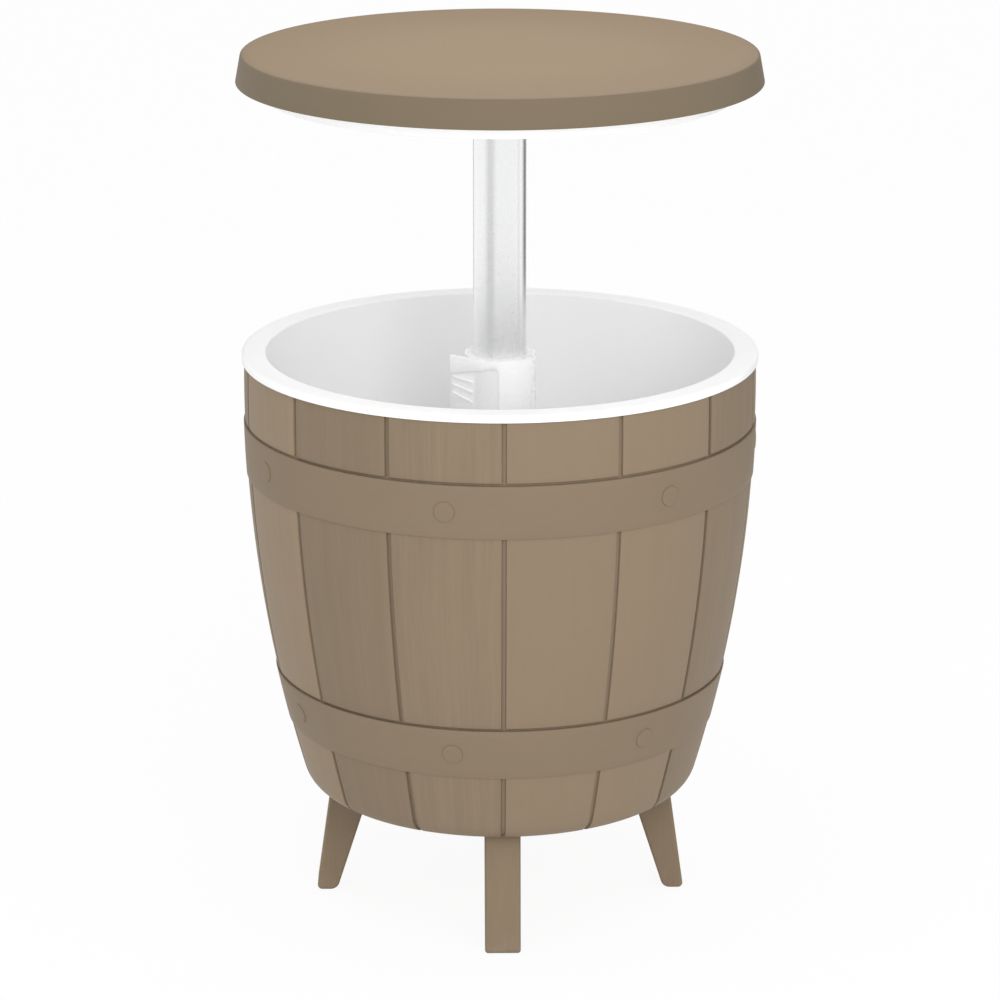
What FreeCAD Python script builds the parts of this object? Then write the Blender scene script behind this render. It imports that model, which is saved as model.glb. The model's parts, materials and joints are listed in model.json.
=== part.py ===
"""Cooler table with lid: a barrel-shaped drinks tub on four legs under a round table top.

The top stands on a tube that slides in a column in the middle of the tub. A cam lever at the
column's mouth grips the tube. Millimetres, +Z up, origin on the ground on the barrel's axis.
The front is -Y. Azimuths are measured from the front and grow towards +X.
"""
import FreeCAD
import Part

import math
import os

Vector = FreeCAD.Vector

# Barrel shell: one moulding whose outside looks like staves and hoops
base_z = 116.3            # flat underside of the barrel above the ground
rim_z = 549.0             # top of the tub rim
barrel_r = 244.5          # widest outside radius of the staves
belly_z = 508.5           # height of the widest place
stave_arc_r = 1356.0      # bow of the staves, seen from the side
base_fillet_r = 26.2      # round between the staves and the base
shell_wall = 4.5
stave_count = 14
stave_groove_w = 4.5
stave_groove_depth = 2.4
hoop_height = 50.5
upper_hoop_z = 432.0      # lower edge of the upper hoop
lower_hoop_z = 188.0      # lower edge of the lower hoop
hoop_proud = 1.2
hoop_groove_w = 3.5       # incised line along each hoop's top edge
hoop_groove_depth = 2.0
rivet_count = 7
rivet_r = 9.5
rivet_proud = 0.9
rivet_edge_r = 0.5

# Tub liner: the white inner bucket that hangs on the shell's top edge
rim_plate_t = 3.0
rim_lip_t = 2.25
rim_lip_drop = 7.0        # from the rim's top to the lip's lower edge
rim_lip_gap = 0.15        # running round the shell's top edge
rim_round_r = 2.2
rim_width = 23.0          # flat width of the rim
tub_wall = 3.0
tub_foot_gap = 3.3555     # between the tub and the shell at the floor; it gives 5 degrees of draft
tub_floor_z = 168.0
tub_fillet_r = 25.0
post_count = 6            # posts that carry the liner's floor on the shell's base
post_leg_gap = 29.0       # from the posts' pitch circle to the legs
post_r = 6.0
floor_boss_r = 5.5
floor_boss_len = 15.0

# Drain in the tub floor, closed by a plug that is pulled out from below
drain_leg_gap = 13.0      # between the plug's head and the back leg
drain_azimuth = 180.0
drain_bore_r = 9.0
drain_wall = 3.5
drain_spout_drop = 5.3    # spout below the barrel's base
drain_hole_gap = 0.6
plug_head_r = 16.0
plug_head_t = 5.0
plug_stem_len = 24.0
plug_stem_gap = 0.4
plug_rib_gap = 0.15
plug_rib_h = 2.0
plug_grip_w = 22.0
plug_grip_t = 4.0
plug_grip_h = 9.0
seal_t = 2.0
seal_width = 4.0
seal_seat_gap = 0.3

# Legs
leg_count = 4
leg_width = 34.0
leg_top_depth = 41.0      # radial depth where the leg meets the base
leg_edge_inset = 1.9      # from the edge of the flat base to the leg's outer face
foot_splay = 16.4         # how far the foot stands outside the leg's top
foot_depth = 20.0
foot_outer_round = 4.5
foot_inner_round = 9.0
leg_edge_r = 3.0
spigot_inset = 2.8
spigot_height = 20.0
spigot_gap = 0.25
socket_wall = 3.0
socket_roof = 3.0

# Sliding tube and its guides
pole_r = 25.5
pole_wall = 1.5
running_gap = 0.07
bush_wall = 2.1
bush_length = 76.0
column_fit_gap = 0.1
column_wall = 2.2
column_flange_r = 50.0
column_screw_azimuth = 45.0   # first of four
column_flange_t = 4.0
gusset_count = 4
gusset_t = 3.0
gusset_height = 34.0
clamp_drop = 4.0          # column's and clamp's top below the rim
gusset_tip_h = 2.0        # height and inset of a gusset's outer end
glide_length = 30.0
retainer_t = 1.7
retainer_width = 1.4
retainer_opening = 12.0   # half of the snap ring's opening in degrees
slide_stop_gap = 0.3
end_gap = 0.2
cap_flange_t = 3.0
cap_plug_len = 14.0
plug_fit_gap = 0.05       # plugs inside the tube

# Clamp: a collar, a cam lever on an upright pin, and a brake pad
clamp_height = 62.0
collar_gap = 0.15
collar_wall = 3.85
collar_screw_azimuths = (140.0, 220.0)
collar_screw_rise = 12.0  # above the collar's lower edge
pin_r = 1.6
pin_azimuth = 56.9
pin_stand_off = 1.2       # pin axis outside the collar's outer face
ear_r = 4.6
ear_t = 4.0
knuckle_r = 4.0
cam_throw = 0.35          # knuckle's offset towards the tube while the lever is shut
knuckle_gap = 0.25
ear_gap = 0.3
lever_gap = 0.6
lever_t = 4.0
tail_azimuth = -39.5
tail_length = 31.5
tail_end_r = 1.9
grip_depth = 1.5
grip_edge_x = -1.8        # right edge of the finger recess
grip_top_drop = 5.4       # recess's top right corner below the lever's top
grip_top_lean = 15.5      # recess's top edge falls towards the tip, in degrees
grip_corner_r = 6.0
ridge_count = 3
ridge_pitch = 7.8         # at the tip, from where the ridges fan out
ridge_fan = 4.8           # each ridge leans this much more than the one above, in degrees
ridge_top_drop = 21.4
ridge_h = 2.2
ridge_proud = 1.0
ridge_length = 25.0
ridge_start = 3.0
pad_width = 9.0
pad_height = 48.0
pad_gap = 0.1
pad_side_gap = 0.3

# Lid: table top, white liner under it and the hub that holds the tube
lid_lift = 259.2          # travel from shut to raised
lid_height = 26.6
lid_overhang = 1.1        # lid outside the rim's lip
lid_taper = 4.4           # how far the skirt flares out
lid_wall = 3.0
lid_crease_r = 2.6
lid_dish = 3.0            # depth of the shallow dish in the top
dish_land_w = 6.0
dish_slope_w = 95.0
dish_sag = 0.28           # height share at the middle of the dish's slope
liner_t = 2.5
liner_recess = 2.8        # liner plate above the lid's lower edge
liner_edge_gap = 0.5
lid_plug_gap = 1.6        # plug ring inside the tub's mouth
lid_plug_drop = 13.2
lid_plug_w = 14.0
hub_pad_r = 62.0
hub_pad_t = 5.0
pole_hole_gap = 0.5
hub_flange_r = 56.0
hub_flange_t = 4.0
hub_spigot_wall = 3.4
hub_spigot_len = 42.0
hub_ring_h = 9.0
hub_ring_t = 4.0
hub_rib_count = 8
hub_rib_t = 2.4
hub_rib_tip_h = 1.0
lid_boss_count = 8
lid_boss_pitch_r = 170.0
lid_boss_r = 5.0
lid_rib_t = 2.0
lid_rib_h = 8.0
lid_rib_start_r = 70.0
cross_screw_drop = 22.0   # cross screws below the tube's top

# Screws: core radius, head radius, head height and length of each kind
screw_clearance = 0.05
hole_clearance = 0.4
tapping_screw = (1.6, 4.0, 2.6, 12.0)
floor_screw = (1.9, 4.2, 2.8, 14.0)
leg_screw = (2.8, 5.5, 4.0, 24.0)
collar_screw = (1.2, 2.8, 1.8, 5.4)
cross_screw_r = 1.6       # headless screws that lie inside the tube's wall
cross_screw_len = 8.0
cross_screw_inset = 0.2
screw_depth_spare = 1.5
screw_chamfer_share = 0.3     # of the head's height
overlap = 1.0             # bodies that are joined or cut run into each other by this

origin = Vector(0, 0, 0)
up = Vector(0, 0, 1)


def at(radius, height):
    """A point in the XZ plane, where every turned profile is drawn."""
    return Vector(radius, 0, height)


def line(start, end):
    return Part.LineSegment(start, end).toShape()


def arc(start, middle, end):
    return Part.Arc(start, middle, end).toShape()


def profile(edges):
    """A flat face whose outline is the edges, put in order."""
    return Part.Face(Part.Wire(Part.sortEdges(edges)[0]))


def polygon(points):
    """A flat face with straight sides through the points."""
    return Part.Face(Part.makePolygon(points + points[:1]))


def turned(face, degrees=360.0):
    return face.revolve(origin, up, degrees)


def turn_to(shape, azimuth):
    """Bring a shape drawn along +X round to an azimuth measured from the front."""
    copy = shape.copy()
    copy.rotate(origin, up, azimuth - 90.0)
    return copy


def ring_of(shape, count, first_azimuth=0.0):
    """Copies of a shape drawn along +X, evenly spaced round the axis."""
    return [turn_to(shape, first_azimuth + index * 360.0 / count) for index in range(count)]


def tube(inner_r, outer_r, low, high):
    return turned(polygon([at(inner_r, low), at(outer_r, low), at(outer_r, high), at(inner_r, high)]))


def sector(inner_r, outer_r, first_azimuth, last_azimuth, low, high):
    """Part of a tube between two azimuths."""
    face = polygon([at(inner_r, low), at(outer_r, low), at(outer_r, high), at(inner_r, high)])
    return turn_to(turned(face, last_azimuth - first_azimuth), first_azimuth)


def rod(radius, low, high, x=0.0, y=0.0):
    return Part.makeCylinder(radius, high - low, Vector(x, y, low))


def block(x_range, y_range, z_range):
    size = [high - low for low, high in (x_range, y_range, z_range)]
    return Part.makeBox(*size, Vector(x_range[0], y_range[0], z_range[0]))


def screw(kind, seat, direction):
    """A pan-head screw: its head stands on the seat and its core goes along the direction."""
    core_r, head_r, head_h, length = kind
    core = Part.makeCylinder(core_r, length, seat, direction)
    head = Part.makeCylinder(head_r, head_h, seat, direction * -1)
    top_edges = [edge for edge in head.Edges if (edge.CenterOfMass - seat).Length > head_h * 0.9
                 and edge.Closed]
    return head.makeChamfer(head_h * screw_chamfer_share, top_edges).fuse(core)


def screw_bore(kind, seat, direction, clearance):
    """The hole that a screw's core needs from its seat."""
    core_r, head_r, head_h, length = kind
    return Part.makeCylinder(core_r + clearance, length + screw_depth_spare, seat, direction)


def fused(first, others):
    return first.multiFuse(others).removeSplitter() if others else first


def stave_offset_r(height, offset=0.0):
    """Radius of the staves' bow at a height, moved out square to the bow by the offset."""
    reach = (stave_arc_r + offset) ** 2 - (height - belly_z) ** 2
    return barrel_r - stave_arc_r + math.sqrt(reach)


def base_round():
    """Centre of the round at the base, and the angle at which it leaves the bow."""
    centre_z = base_z + base_fillet_r
    centre_r = stave_offset_r(centre_z, -base_fillet_r)
    lean = math.atan2(centre_z - belly_z, centre_r - (barrel_r - stave_arc_r))
    return centre_r, centre_z, lean


flat_base_r = base_round()[0]


def bow(low, high, offset):
    """The staves' bow as one arc between two heights."""
    middle = (low + high) / 2
    return arc(at(stave_offset_r(high, offset), high), at(stave_offset_r(middle, offset), middle),
               at(stave_offset_r(low, offset), low))


def first_point(edges):
    return edges[0].Vertexes[0].Point


def last_point(edges):
    return edges[-1].Vertexes[-1].Point


def band(outside, inside):
    """Area between two outlines that run side by side."""
    ends = [line(first_point(outside), first_point(inside)), line(last_point(outside), last_point(inside))]
    return profile(outside + inside + ends)


def barrel_outline(high, offset):
    """The bow and the round at the base, from a height down to the flat base."""
    centre_r, centre_z, lean = base_round()
    radius = base_fillet_r + offset
    joint = at(centre_r + radius * math.cos(lean), centre_z + radius * math.sin(lean))
    half_way = (lean - math.pi / 2) / 2
    corner = at(centre_r + radius * math.cos(half_way), centre_z + radius * math.sin(half_way))
    foot = at(centre_r, centre_z - radius)
    middle_z = (high + joint.z) / 2
    side = arc(at(stave_offset_r(high, offset), high), at(stave_offset_r(middle_z, offset), middle_z), joint)
    return [side, arc(joint, corner, foot)]


shell_top_z = rim_z - rim_plate_t
inner_base_z = base_z + shell_wall
upper_hoop_top = upper_hoop_z + hoop_height
lower_hoop_top = lower_hoop_z + hoop_height


def hooped_outline():
    """Outside of the shell from its top edge to the flat base, with the hoops and their lines."""
    stretches = [(upper_hoop_top + hoop_groove_w, shell_top_z, 0.0),
                 (upper_hoop_top, upper_hoop_top + hoop_groove_w, -hoop_groove_depth),
                 (upper_hoop_z, upper_hoop_top, hoop_proud),
                 (lower_hoop_top + hoop_groove_w, upper_hoop_z, 0.0),
                 (lower_hoop_top, lower_hoop_top + hoop_groove_w, -hoop_groove_depth),
                 (lower_hoop_z, lower_hoop_top, hoop_proud)]
    parts = [[bow(low, high, offset)] for low, high, offset in stretches]
    parts.append(barrel_outline(lower_hoop_z, 0.0))
    edges = parts[0]
    for part in parts[1:]:
        edges = edges + [line(last_point(edges), first_point(part))] + part
    return edges


def stave_grooves():
    """Cutters for the lines between staves, interrupted by the two hoops."""
    deep = -stave_groove_depth
    over = hoop_proud + overlap
    half_line = hoop_groove_w / 2
    spans = [(upper_hoop_top + half_line, shell_top_z + overlap), (lower_hoop_top + half_line, upper_hoop_z)]
    faces = [band([bow(low, high, over)], [bow(low, high, deep)]) for low, high in spans]
    faces.append(band(barrel_outline(lower_hoop_z, over), barrel_outline(lower_hoop_z, deep)))
    cutters = []
    for face in faces:
        face.translate(Vector(0, -stave_groove_w / 2, 0))
        cutters += ring_of(face.extrude(Vector(0, stave_groove_w, 0)), stave_count)
    return cutters


def rivets():
    """Flat studs at the middle of every other stave on both hoops, square to the hoop."""
    studs = []
    for low in (lower_hoop_z, upper_hoop_z):
        height = low + hoop_height / 2
        lean = math.asin((height - belly_z) / stave_arc_r)
        out = Vector(math.cos(lean), 0, math.sin(lean))
        foot = at(stave_offset_r(height), height)
        tall = hoop_proud + rivet_proud
        stud = Part.makeCylinder(rivet_r, tall, foot, out)
        rim = [edge for edge in stud.Edges if edge.Closed and edge.CenterOfMass.sub(foot).Length > tall / 2]
        studs += ring_of(stud.makeFillet(rivet_edge_r, rim), rivet_count, -180.0 / stave_count)
    return studs


def leg_span():
    """Inner and outer radius of a leg's top."""
    outer = flat_base_r - leg_edge_inset
    return outer - leg_top_depth, outer


def leg_box(inset, low, high):
    """The leg's rectangular section, drawn along +X and made smaller by the inset."""
    inner, outer = leg_span()
    half = leg_width / 2 - inset
    box = block((inner + inset, outer - inset), (-half, half), (low, high))
    return box.makeFillet(leg_edge_r, [edge for edge in box.Edges if abs(edge.tangentAt(0).z) > 0.99])


leg_azimuths = {"leg_front": 0.0, "leg_right": 90.0, "leg_back": 180.0, "leg_left": -90.0}
spigot_top_z = base_z + spigot_height
socket_top_z = spigot_top_z + spigot_gap
leg_screw_r = sum(leg_span()) / 2
leg_screw_seat = at(leg_screw_r, socket_top_z + socket_roof)


def around(radius, azimuth, height):
    """A point at an azimuth measured from the front."""
    angle = math.radians(azimuth)
    return Vector(radius * math.sin(angle), -radius * math.cos(angle), height)


post_pitch_r = leg_span()[0] - post_leg_gap
drain_pitch_r = leg_span()[0] - plug_head_r - drain_leg_gap
post_points = [around(post_pitch_r, (index + 0.5) * 360.0 / post_count, base_z)
               for index in range(post_count)]
drain_point = around(drain_pitch_r, drain_azimuth, 0)
spout_r = drain_bore_r + drain_wall
spout_low_z = base_z - drain_spout_drop


def barrel_shell():
    outside = hooped_outline()
    inside = barrel_outline(shell_top_z, -shell_wall)
    outside.append(line(last_point(outside), at(0, base_z)))
    inside.append(line(last_point(inside), at(0, inner_base_z)))
    shell = turned(band(outside, inside))
    sockets = ring_of(leg_box(spigot_inset - spigot_gap - socket_wall, base_z, socket_top_z + socket_roof),
                      leg_count)
    shell = shell.multiFuse(sockets)
    pockets = ring_of(leg_box(spigot_inset - spigot_gap, base_z - overlap, socket_top_z), leg_count)
    bores = ring_of(screw_bore(leg_screw, leg_screw_seat, up * -1, hole_clearance), leg_count)
    bores += [screw_bore(tapping_screw, point, up, hole_clearance) for point in post_points]
    bores.append(rod(spout_r + drain_hole_gap, base_z - overlap, inner_base_z + overlap, drain_point.x,
                     drain_point.y))
    shell = shell.cut(pockets + bores).cut(stave_grooves())
    return fused(shell, rivets())


tub_underside_z = tub_floor_z - tub_wall
lip_inner_r = stave_offset_r(shell_top_z) + rim_lip_gap
lip_outer_r = lip_inner_r + rim_lip_t
mouth_r = lip_outer_r - rim_width
tub_foot_r = stave_offset_r(tub_floor_z, -shell_wall) - tub_foot_gap - tub_wall
tub_lean = (mouth_r - tub_foot_r) / (rim_z - tub_floor_z)
tub_draft = math.atan(tub_lean)


def tub_r(height):
    """Inside radius of the tapered tub wall."""
    return mouth_r - (rim_z - height) * tub_lean


def tub_corner(offset):
    """Bottom corner of the tub wall as an arc, moved out by the offset."""
    radius = tub_fillet_r + offset
    centre_z = tub_floor_z + tub_fillet_r
    centre_r = tub_r(centre_z) - tub_fillet_r / math.cos(tub_draft)
    centre = at(centre_r, centre_z)
    half_way = -(math.pi / 2 + tub_draft) / 2
    wall_end = centre + at(math.cos(tub_draft), -math.sin(tub_draft)) * radius
    middle = centre + at(math.cos(half_way), math.sin(half_way)) * radius
    return arc(wall_end, middle, centre - at(0, radius))


def column_screw_points(height):
    pitch_r = (column_flange_r + column_r) / 2
    return [around(pitch_r, column_screw_azimuth + index * 90.0, height) for index in range(4)]


def tub_liner():
    inner_corner = tub_corner(0.0)
    outer_corner = tub_corner(tub_wall)
    plate_z = rim_z - rim_plate_t
    lip_z = rim_z - rim_lip_drop
    shift = tub_wall / math.cos(tub_draft)
    section = [
        line(at(0, tub_floor_z), inner_corner.Vertexes[-1].Point), inner_corner,
        line(inner_corner.Vertexes[0].Point, at(mouth_r, rim_z)),
        line(at(mouth_r, rim_z), at(lip_outer_r - rim_round_r, rim_z)),
        arc(at(lip_outer_r - rim_round_r, rim_z),
            at(lip_outer_r - rim_round_r * (1 - math.sqrt(0.5)), rim_z - rim_round_r * (1 - math.sqrt(0.5))),
            at(lip_outer_r, rim_z - rim_round_r)),
        line(at(lip_outer_r, rim_z - rim_round_r), at(lip_outer_r, lip_z)),
        line(at(lip_outer_r, lip_z), at(lip_inner_r, lip_z)),
        line(at(lip_inner_r, lip_z), at(lip_inner_r, plate_z)),
        line(at(lip_inner_r, plate_z), at(tub_r(plate_z) + shift, plate_z)),
        line(at(tub_r(plate_z) + shift, plate_z), outer_corner.Vertexes[0].Point), outer_corner,
        line(outer_corner.Vertexes[-1].Point, at(0, tub_underside_z)),
        line(at(0, tub_underside_z), at(0, tub_floor_z)),
    ]
    liner = turned(profile(section))
    posts = [rod(post_r, inner_base_z, tub_underside_z + overlap, point.x, point.y) for point in post_points]
    bosses = [rod(floor_boss_r, tub_underside_z - floor_boss_len, tub_underside_z + overlap, point.x, point.y)
              for point in column_screw_points(0)]
    spout = rod(spout_r, spout_low_z, tub_underside_z + overlap, drain_point.x, drain_point.y)
    liner = liner.multiFuse(posts + bosses + [spout])
    bores = [rod(drain_bore_r, spout_low_z - overlap, tub_floor_z + overlap, drain_point.x, drain_point.y)]
    bores += [screw_bore(tapping_screw, point, up, screw_clearance) for point in post_points]
    floor_seats = column_screw_points(tub_floor_z + column_flange_t)
    bores += [screw_bore(floor_screw, point, up * -1, screw_clearance) for point in floor_seats]
    return liner.cut(bores).removeSplitter()


def leg():
    """One leg along +X: splayed and tapered, with a spigot that fills the base's socket."""
    inner, outer = leg_span()
    foot_outer = outer + foot_splay
    foot_inner = foot_outer - foot_depth
    half = leg_width / 2
    corners = [(inner, base_z), (outer, base_z), (foot_outer, 0.0), (foot_inner, 0.0)]
    side = polygon([Vector(radius, -half, height) for radius, height in corners])
    body = side.extrude(Vector(0, leg_width, 0))

    def across(radius):
        return [edge for edge in body.Edges if abs(edge.CenterOfMass.x - radius) < 0.01
                and abs(edge.CenterOfMass.z) < 0.01 and abs(edge.tangentAt(0).y) > 0.99]

    body = body.makeFillet(foot_outer_round, across(foot_outer))
    body = body.makeFillet(foot_inner_round, across(foot_inner))
    long_edges = [edge for edge in body.Edges
                  if abs(abs(edge.CenterOfMass.y) - half) < 0.01 and edge.CenterOfMass.z < base_z - 0.01]
    body = body.makeFillet(leg_edge_r, long_edges)
    spigot = leg_box(spigot_inset, base_z - overlap, spigot_top_z)
    hole = screw_bore(leg_screw, leg_screw_seat, up * -1, screw_clearance)
    return body.fuse(spigot).removeSplitter().cut(hole)


def leg_screws():
    return Part.makeCompound(ring_of(screw(leg_screw, leg_screw_seat, up * -1), leg_count))


def shell_screws():
    return Part.makeCompound([screw(tapping_screw, point, up) for point in post_points])


column_top_z = rim_z - clamp_drop
bush_r = pole_r + running_gap
bush_outer_r = bush_r + bush_wall
column_inner_r = bush_outer_r + column_fit_gap
column_r = column_inner_r + column_wall
bush_low_z = column_top_z - bush_length
clamp_low_z = column_top_z - clamp_height
clamp_mid_z = (column_top_z + clamp_low_z) / 2
collar_inner_r = column_r + collar_gap
collar_r = collar_inner_r + collar_wall
pin_pitch_r = collar_r + pin_stand_off
pad_outer_r = pin_pitch_r - knuckle_r - cam_throw - pad_gap
pin_point = around(pin_pitch_r, pin_azimuth, 0)
collar_screw_z = clamp_low_z + collar_screw_rise


def pad_window(inner_r, outer_r):
    """Cutter for the window in which the brake pad moves."""
    half = pad_width / 2 + pad_side_gap
    tall = pad_height / 2 + pad_side_gap
    return turn_to(block((inner_r, outer_r), (-half, half), (clamp_mid_z - tall, clamp_mid_z + tall)),
                   pin_azimuth)


def collar_screw_bores(clearance):
    kind = collar_screw
    return [screw_bore(kind, around(collar_r, azimuth, collar_screw_z),
                       around(-1, azimuth, 0), clearance) for azimuth in collar_screw_azimuths]


def centre_column():
    low = tub_floor_z
    column = tube(column_inner_r, column_r, low, column_top_z)
    flange = tube(column_inner_r, column_flange_r, low, low + column_flange_t)
    seat = low + column_flange_t
    tip_r = column_flange_r - gusset_tip_h
    web = polygon([at(column_r - overlap, seat - overlap), at(tip_r, seat - overlap),
                   at(tip_r, seat + gusset_tip_h), at(column_r - overlap, seat + gusset_height)])
    web.translate(Vector(0, -gusset_t / 2, 0))
    gussets = ring_of(web.extrude(Vector(0, gusset_t, 0)), gusset_count)
    column = fused(column, [flange] + gussets)
    bores = [screw_bore(floor_screw, point, up * -1, hole_clearance)
             for point in column_screw_points(low + column_flange_t)]
    bores += collar_screw_bores(screw_clearance)
    return column.cut(bores + [pad_window(column_inner_r - overlap, column_r + overlap)])


def column_screws():
    seats = column_screw_points(tub_floor_z + column_flange_t)
    return Part.makeCompound([screw(floor_screw, seat, up * -1) for seat in seats])


def guide_bush():
    bush = tube(bush_r, bush_outer_r, bush_low_z, column_top_z)
    return bush.cut(pad_window(bush_r - overlap, bush_outer_r + overlap))


def ear_levels():
    """Heights of the collar's three ears, low and high face of each."""
    return [(clamp_low_z, clamp_low_z + ear_t),
            (clamp_mid_z - ear_t / 2, clamp_mid_z + ear_t / 2),
            (column_top_z - ear_t, column_top_z)]


def knuckle_levels():
    """Heights of the lever's two knuckles, in the gaps between the ears."""
    levels = ear_levels()
    return [(lower[1] + ear_gap, upper[0] - ear_gap) for lower, upper in zip(levels, levels[1:])]


def clamp_collar():
    collar = tube(collar_inner_r, collar_r, clamp_low_z, column_top_z)
    ears = [rod(ear_r, low, high, pin_point.x, pin_point.y) for low, high in ear_levels()]
    collar = fused(collar, ears)
    sweep_r = knuckle_r + cam_throw + knuckle_gap
    cutters = [rod(sweep_r, low - ear_gap, high + ear_gap, pin_point.x, pin_point.y)
               for low, high in knuckle_levels()]
    cutters.append(rod(pin_r + screw_clearance / 2, clamp_low_z - overlap, column_top_z + overlap,
                       pin_point.x, pin_point.y))
    cutters.append(pad_window(collar_inner_r - overlap, pad_outer_r + pad_side_gap))
    cutters.append(rod(collar_inner_r, clamp_low_z - overlap, column_top_z + overlap))
    return collar.cut(cutters + collar_screw_bores(hole_clearance))


def collar_screws():
    return Part.makeCompound([screw(collar_screw, around(collar_r, azimuth, collar_screw_z),
                                    around(-1, azimuth, 0)) for azimuth in collar_screw_azimuths])


def clamp_pin():
    return rod(pin_r, clamp_low_z, column_top_z, pin_point.x, pin_point.y)


def brake_pad():
    half = pad_width / 2
    pad = turn_to(block((pole_r - overlap, pad_outer_r), (-half, half),
                        (clamp_mid_z - pad_height / 2, clamp_mid_z + pad_height / 2)), pin_azimuth)
    return pad.cut(rod(pole_r + pad_gap, clamp_low_z, column_top_z))


lever_inner_r = collar_r + lever_gap
lever_r = lever_inner_r + lever_t


def tail_block(inner_r, outer_r, start, end, low, high, lean=0.0):
    """A block on the lever's straight tail, which leaves the round part along its tangent.

    A block that leans keeps the middle of its outer end in place and drops towards the round part."""
    box = block((start, end), (inner_r, outer_r), (low, high))
    box.rotate(Vector(end, 0, (low + high) / 2), Vector(0, -1, 0), lean)
    box.rotate(origin, up, 180.0 + tail_azimuth)
    return box


def lever_layer(inner_r, outer_r, low, high, reach=0.0):
    """The round part and the tail of the lever between two radii."""
    wrap = sector(inner_r, outer_r, tail_azimuth, pin_azimuth, low, high)
    return wrap.fuse(tail_block(inner_r, outer_r, 0.0, tail_length + reach, low, high)).removeSplitter()


def grip_recess():
    """Finger recess in the lever's face: open at the bottom and the tip, with one round top corner."""
    top = column_top_z - grip_top_drop
    low = clamp_low_z - overlap
    left = -lever_r - tail_length
    left_top = top - (grip_edge_x - left) * math.tan(math.radians(grip_top_lean))
    window = polygon([at(left, low), at(grip_edge_x, low), at(grip_edge_x, top), at(left, left_top)])
    window.translate(Vector(0, -lever_r - overlap, 0))
    through = window.extrude(Vector(0, lever_r + tail_length, 0))
    corner = [edge for edge in through.Edges
              if abs(edge.CenterOfMass.x - grip_edge_x) < 0.01 and abs(edge.CenterOfMass.z - top) < 0.01]
    through = through.makeFillet(grip_corner_r, corner)
    return through.common(lever_layer(lever_r - grip_depth, lever_r + overlap, low, column_top_z, tail_end_r))


def clamp_lever():
    lever = lever_layer(lever_inner_r, lever_r, clamp_low_z, column_top_z)
    tip = [edge for edge in lever.Edges if abs(edge.tangentAt(0).z) > 0.99
           and edge.CenterOfMass.x < -lever_r]
    lever = lever.makeFillet(tail_end_r, tip)
    lever = lever.cut(grip_recess())
    face_r = lever_r - grip_depth
    for index in range(ridge_count):
        middle = column_top_z - ridge_top_drop - index * ridge_pitch
        ridge = tail_block(face_r - overlap, face_r + ridge_proud, ridge_start, ridge_start + ridge_length,
                           middle - ridge_h / 2, middle + ridge_h / 2, ridge_fan * (index + 1))
        lever = lever.fuse(ridge)
    inward = around(-cam_throw, pin_azimuth, 0)
    knuckles = [rod(knuckle_r, low, high, pin_point.x + inward.x, pin_point.y + inward.y)
                for low, high in knuckle_levels()]
    spaces = [rod(ear_r + ear_gap, low - ear_gap, high + ear_gap, pin_point.x, pin_point.y)
              for low, high in ear_levels()]
    bore = rod(pin_r + running_gap, clamp_low_z - overlap, column_top_z + overlap, pin_point.x, pin_point.y)
    lever = fused(lever.cut(spaces), knuckles)
    return lever.cut(bore)


# Heights of the tube and its guides while the lid is raised
retainer_top_z = bush_low_z - slide_stop_gap
glide_top_z = retainer_top_z - retainer_t - end_gap
glide_low_z = glide_top_z - glide_length
pole_low_z = glide_low_z - end_gap
pole_inner_r = pole_r - pole_wall
inner_plug_r = pole_inner_r - plug_fit_gap
lid_low_z = rim_z + lid_lift
lid_top_z = lid_low_z + lid_height
plate_low_z = lid_low_z + liner_recess
plate_top_z = plate_low_z + liner_t
pole_screw_z = plate_top_z - cross_screw_drop


def cross_screw_bodies(clearance, spare):
    """The two screws across the tube's top, or the holes they need, from the outside inwards."""
    bodies = []
    for azimuth in (90.0, 270.0):
        inward = around(-1, azimuth, 0)
        start = around(pole_r - cross_screw_inset + spare, azimuth, pole_screw_z)
        bodies.append(Part.makeCylinder(cross_screw_r + clearance, cross_screw_len + spare, start, inward))
    return bodies


def pole():
    shaft = tube(pole_inner_r, pole_r, pole_low_z, plate_top_z)
    return shaft.cut(cross_screw_bodies(hole_clearance, overlap))


def pole_screws():
    return Part.makeCompound(cross_screw_bodies(0.0, 0.0))


def pole_end_cap():
    flange_r = pole_r + retainer_width
    hollow_r = inner_plug_r - cap_flange_t
    outline = polygon([at(0, pole_low_z - cap_flange_t), at(flange_r, pole_low_z - cap_flange_t),
                       at(flange_r, pole_low_z), at(inner_plug_r, pole_low_z),
                       at(inner_plug_r, pole_low_z + cap_plug_len), at(hollow_r, pole_low_z + cap_plug_len),
                       at(hollow_r, pole_low_z), at(0, pole_low_z)])
    return turned(outline)


def pole_glide():
    return tube(pole_r + running_gap, column_inner_r - running_gap, glide_low_z, glide_top_z)


def glide_retainer():
    """Open snap ring on the tube above the glide."""
    return sector(pole_r + screw_clearance, pole_r + retainer_width, retainer_opening,
                  360.0 - retainer_opening, retainer_top_z - retainer_t, retainer_top_z)


def hub_screw_points(height):
    pitch_r = (hub_flange_r + pole_r + hub_ring_t) / 2
    return [around(pitch_r, index * 90.0, height) for index in range(4)]


def lid_boss_points(height):
    return [around(lid_boss_pitch_r, (index + 0.5) * 360.0 / lid_boss_count, height)
            for index in range(lid_boss_count)]


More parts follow.
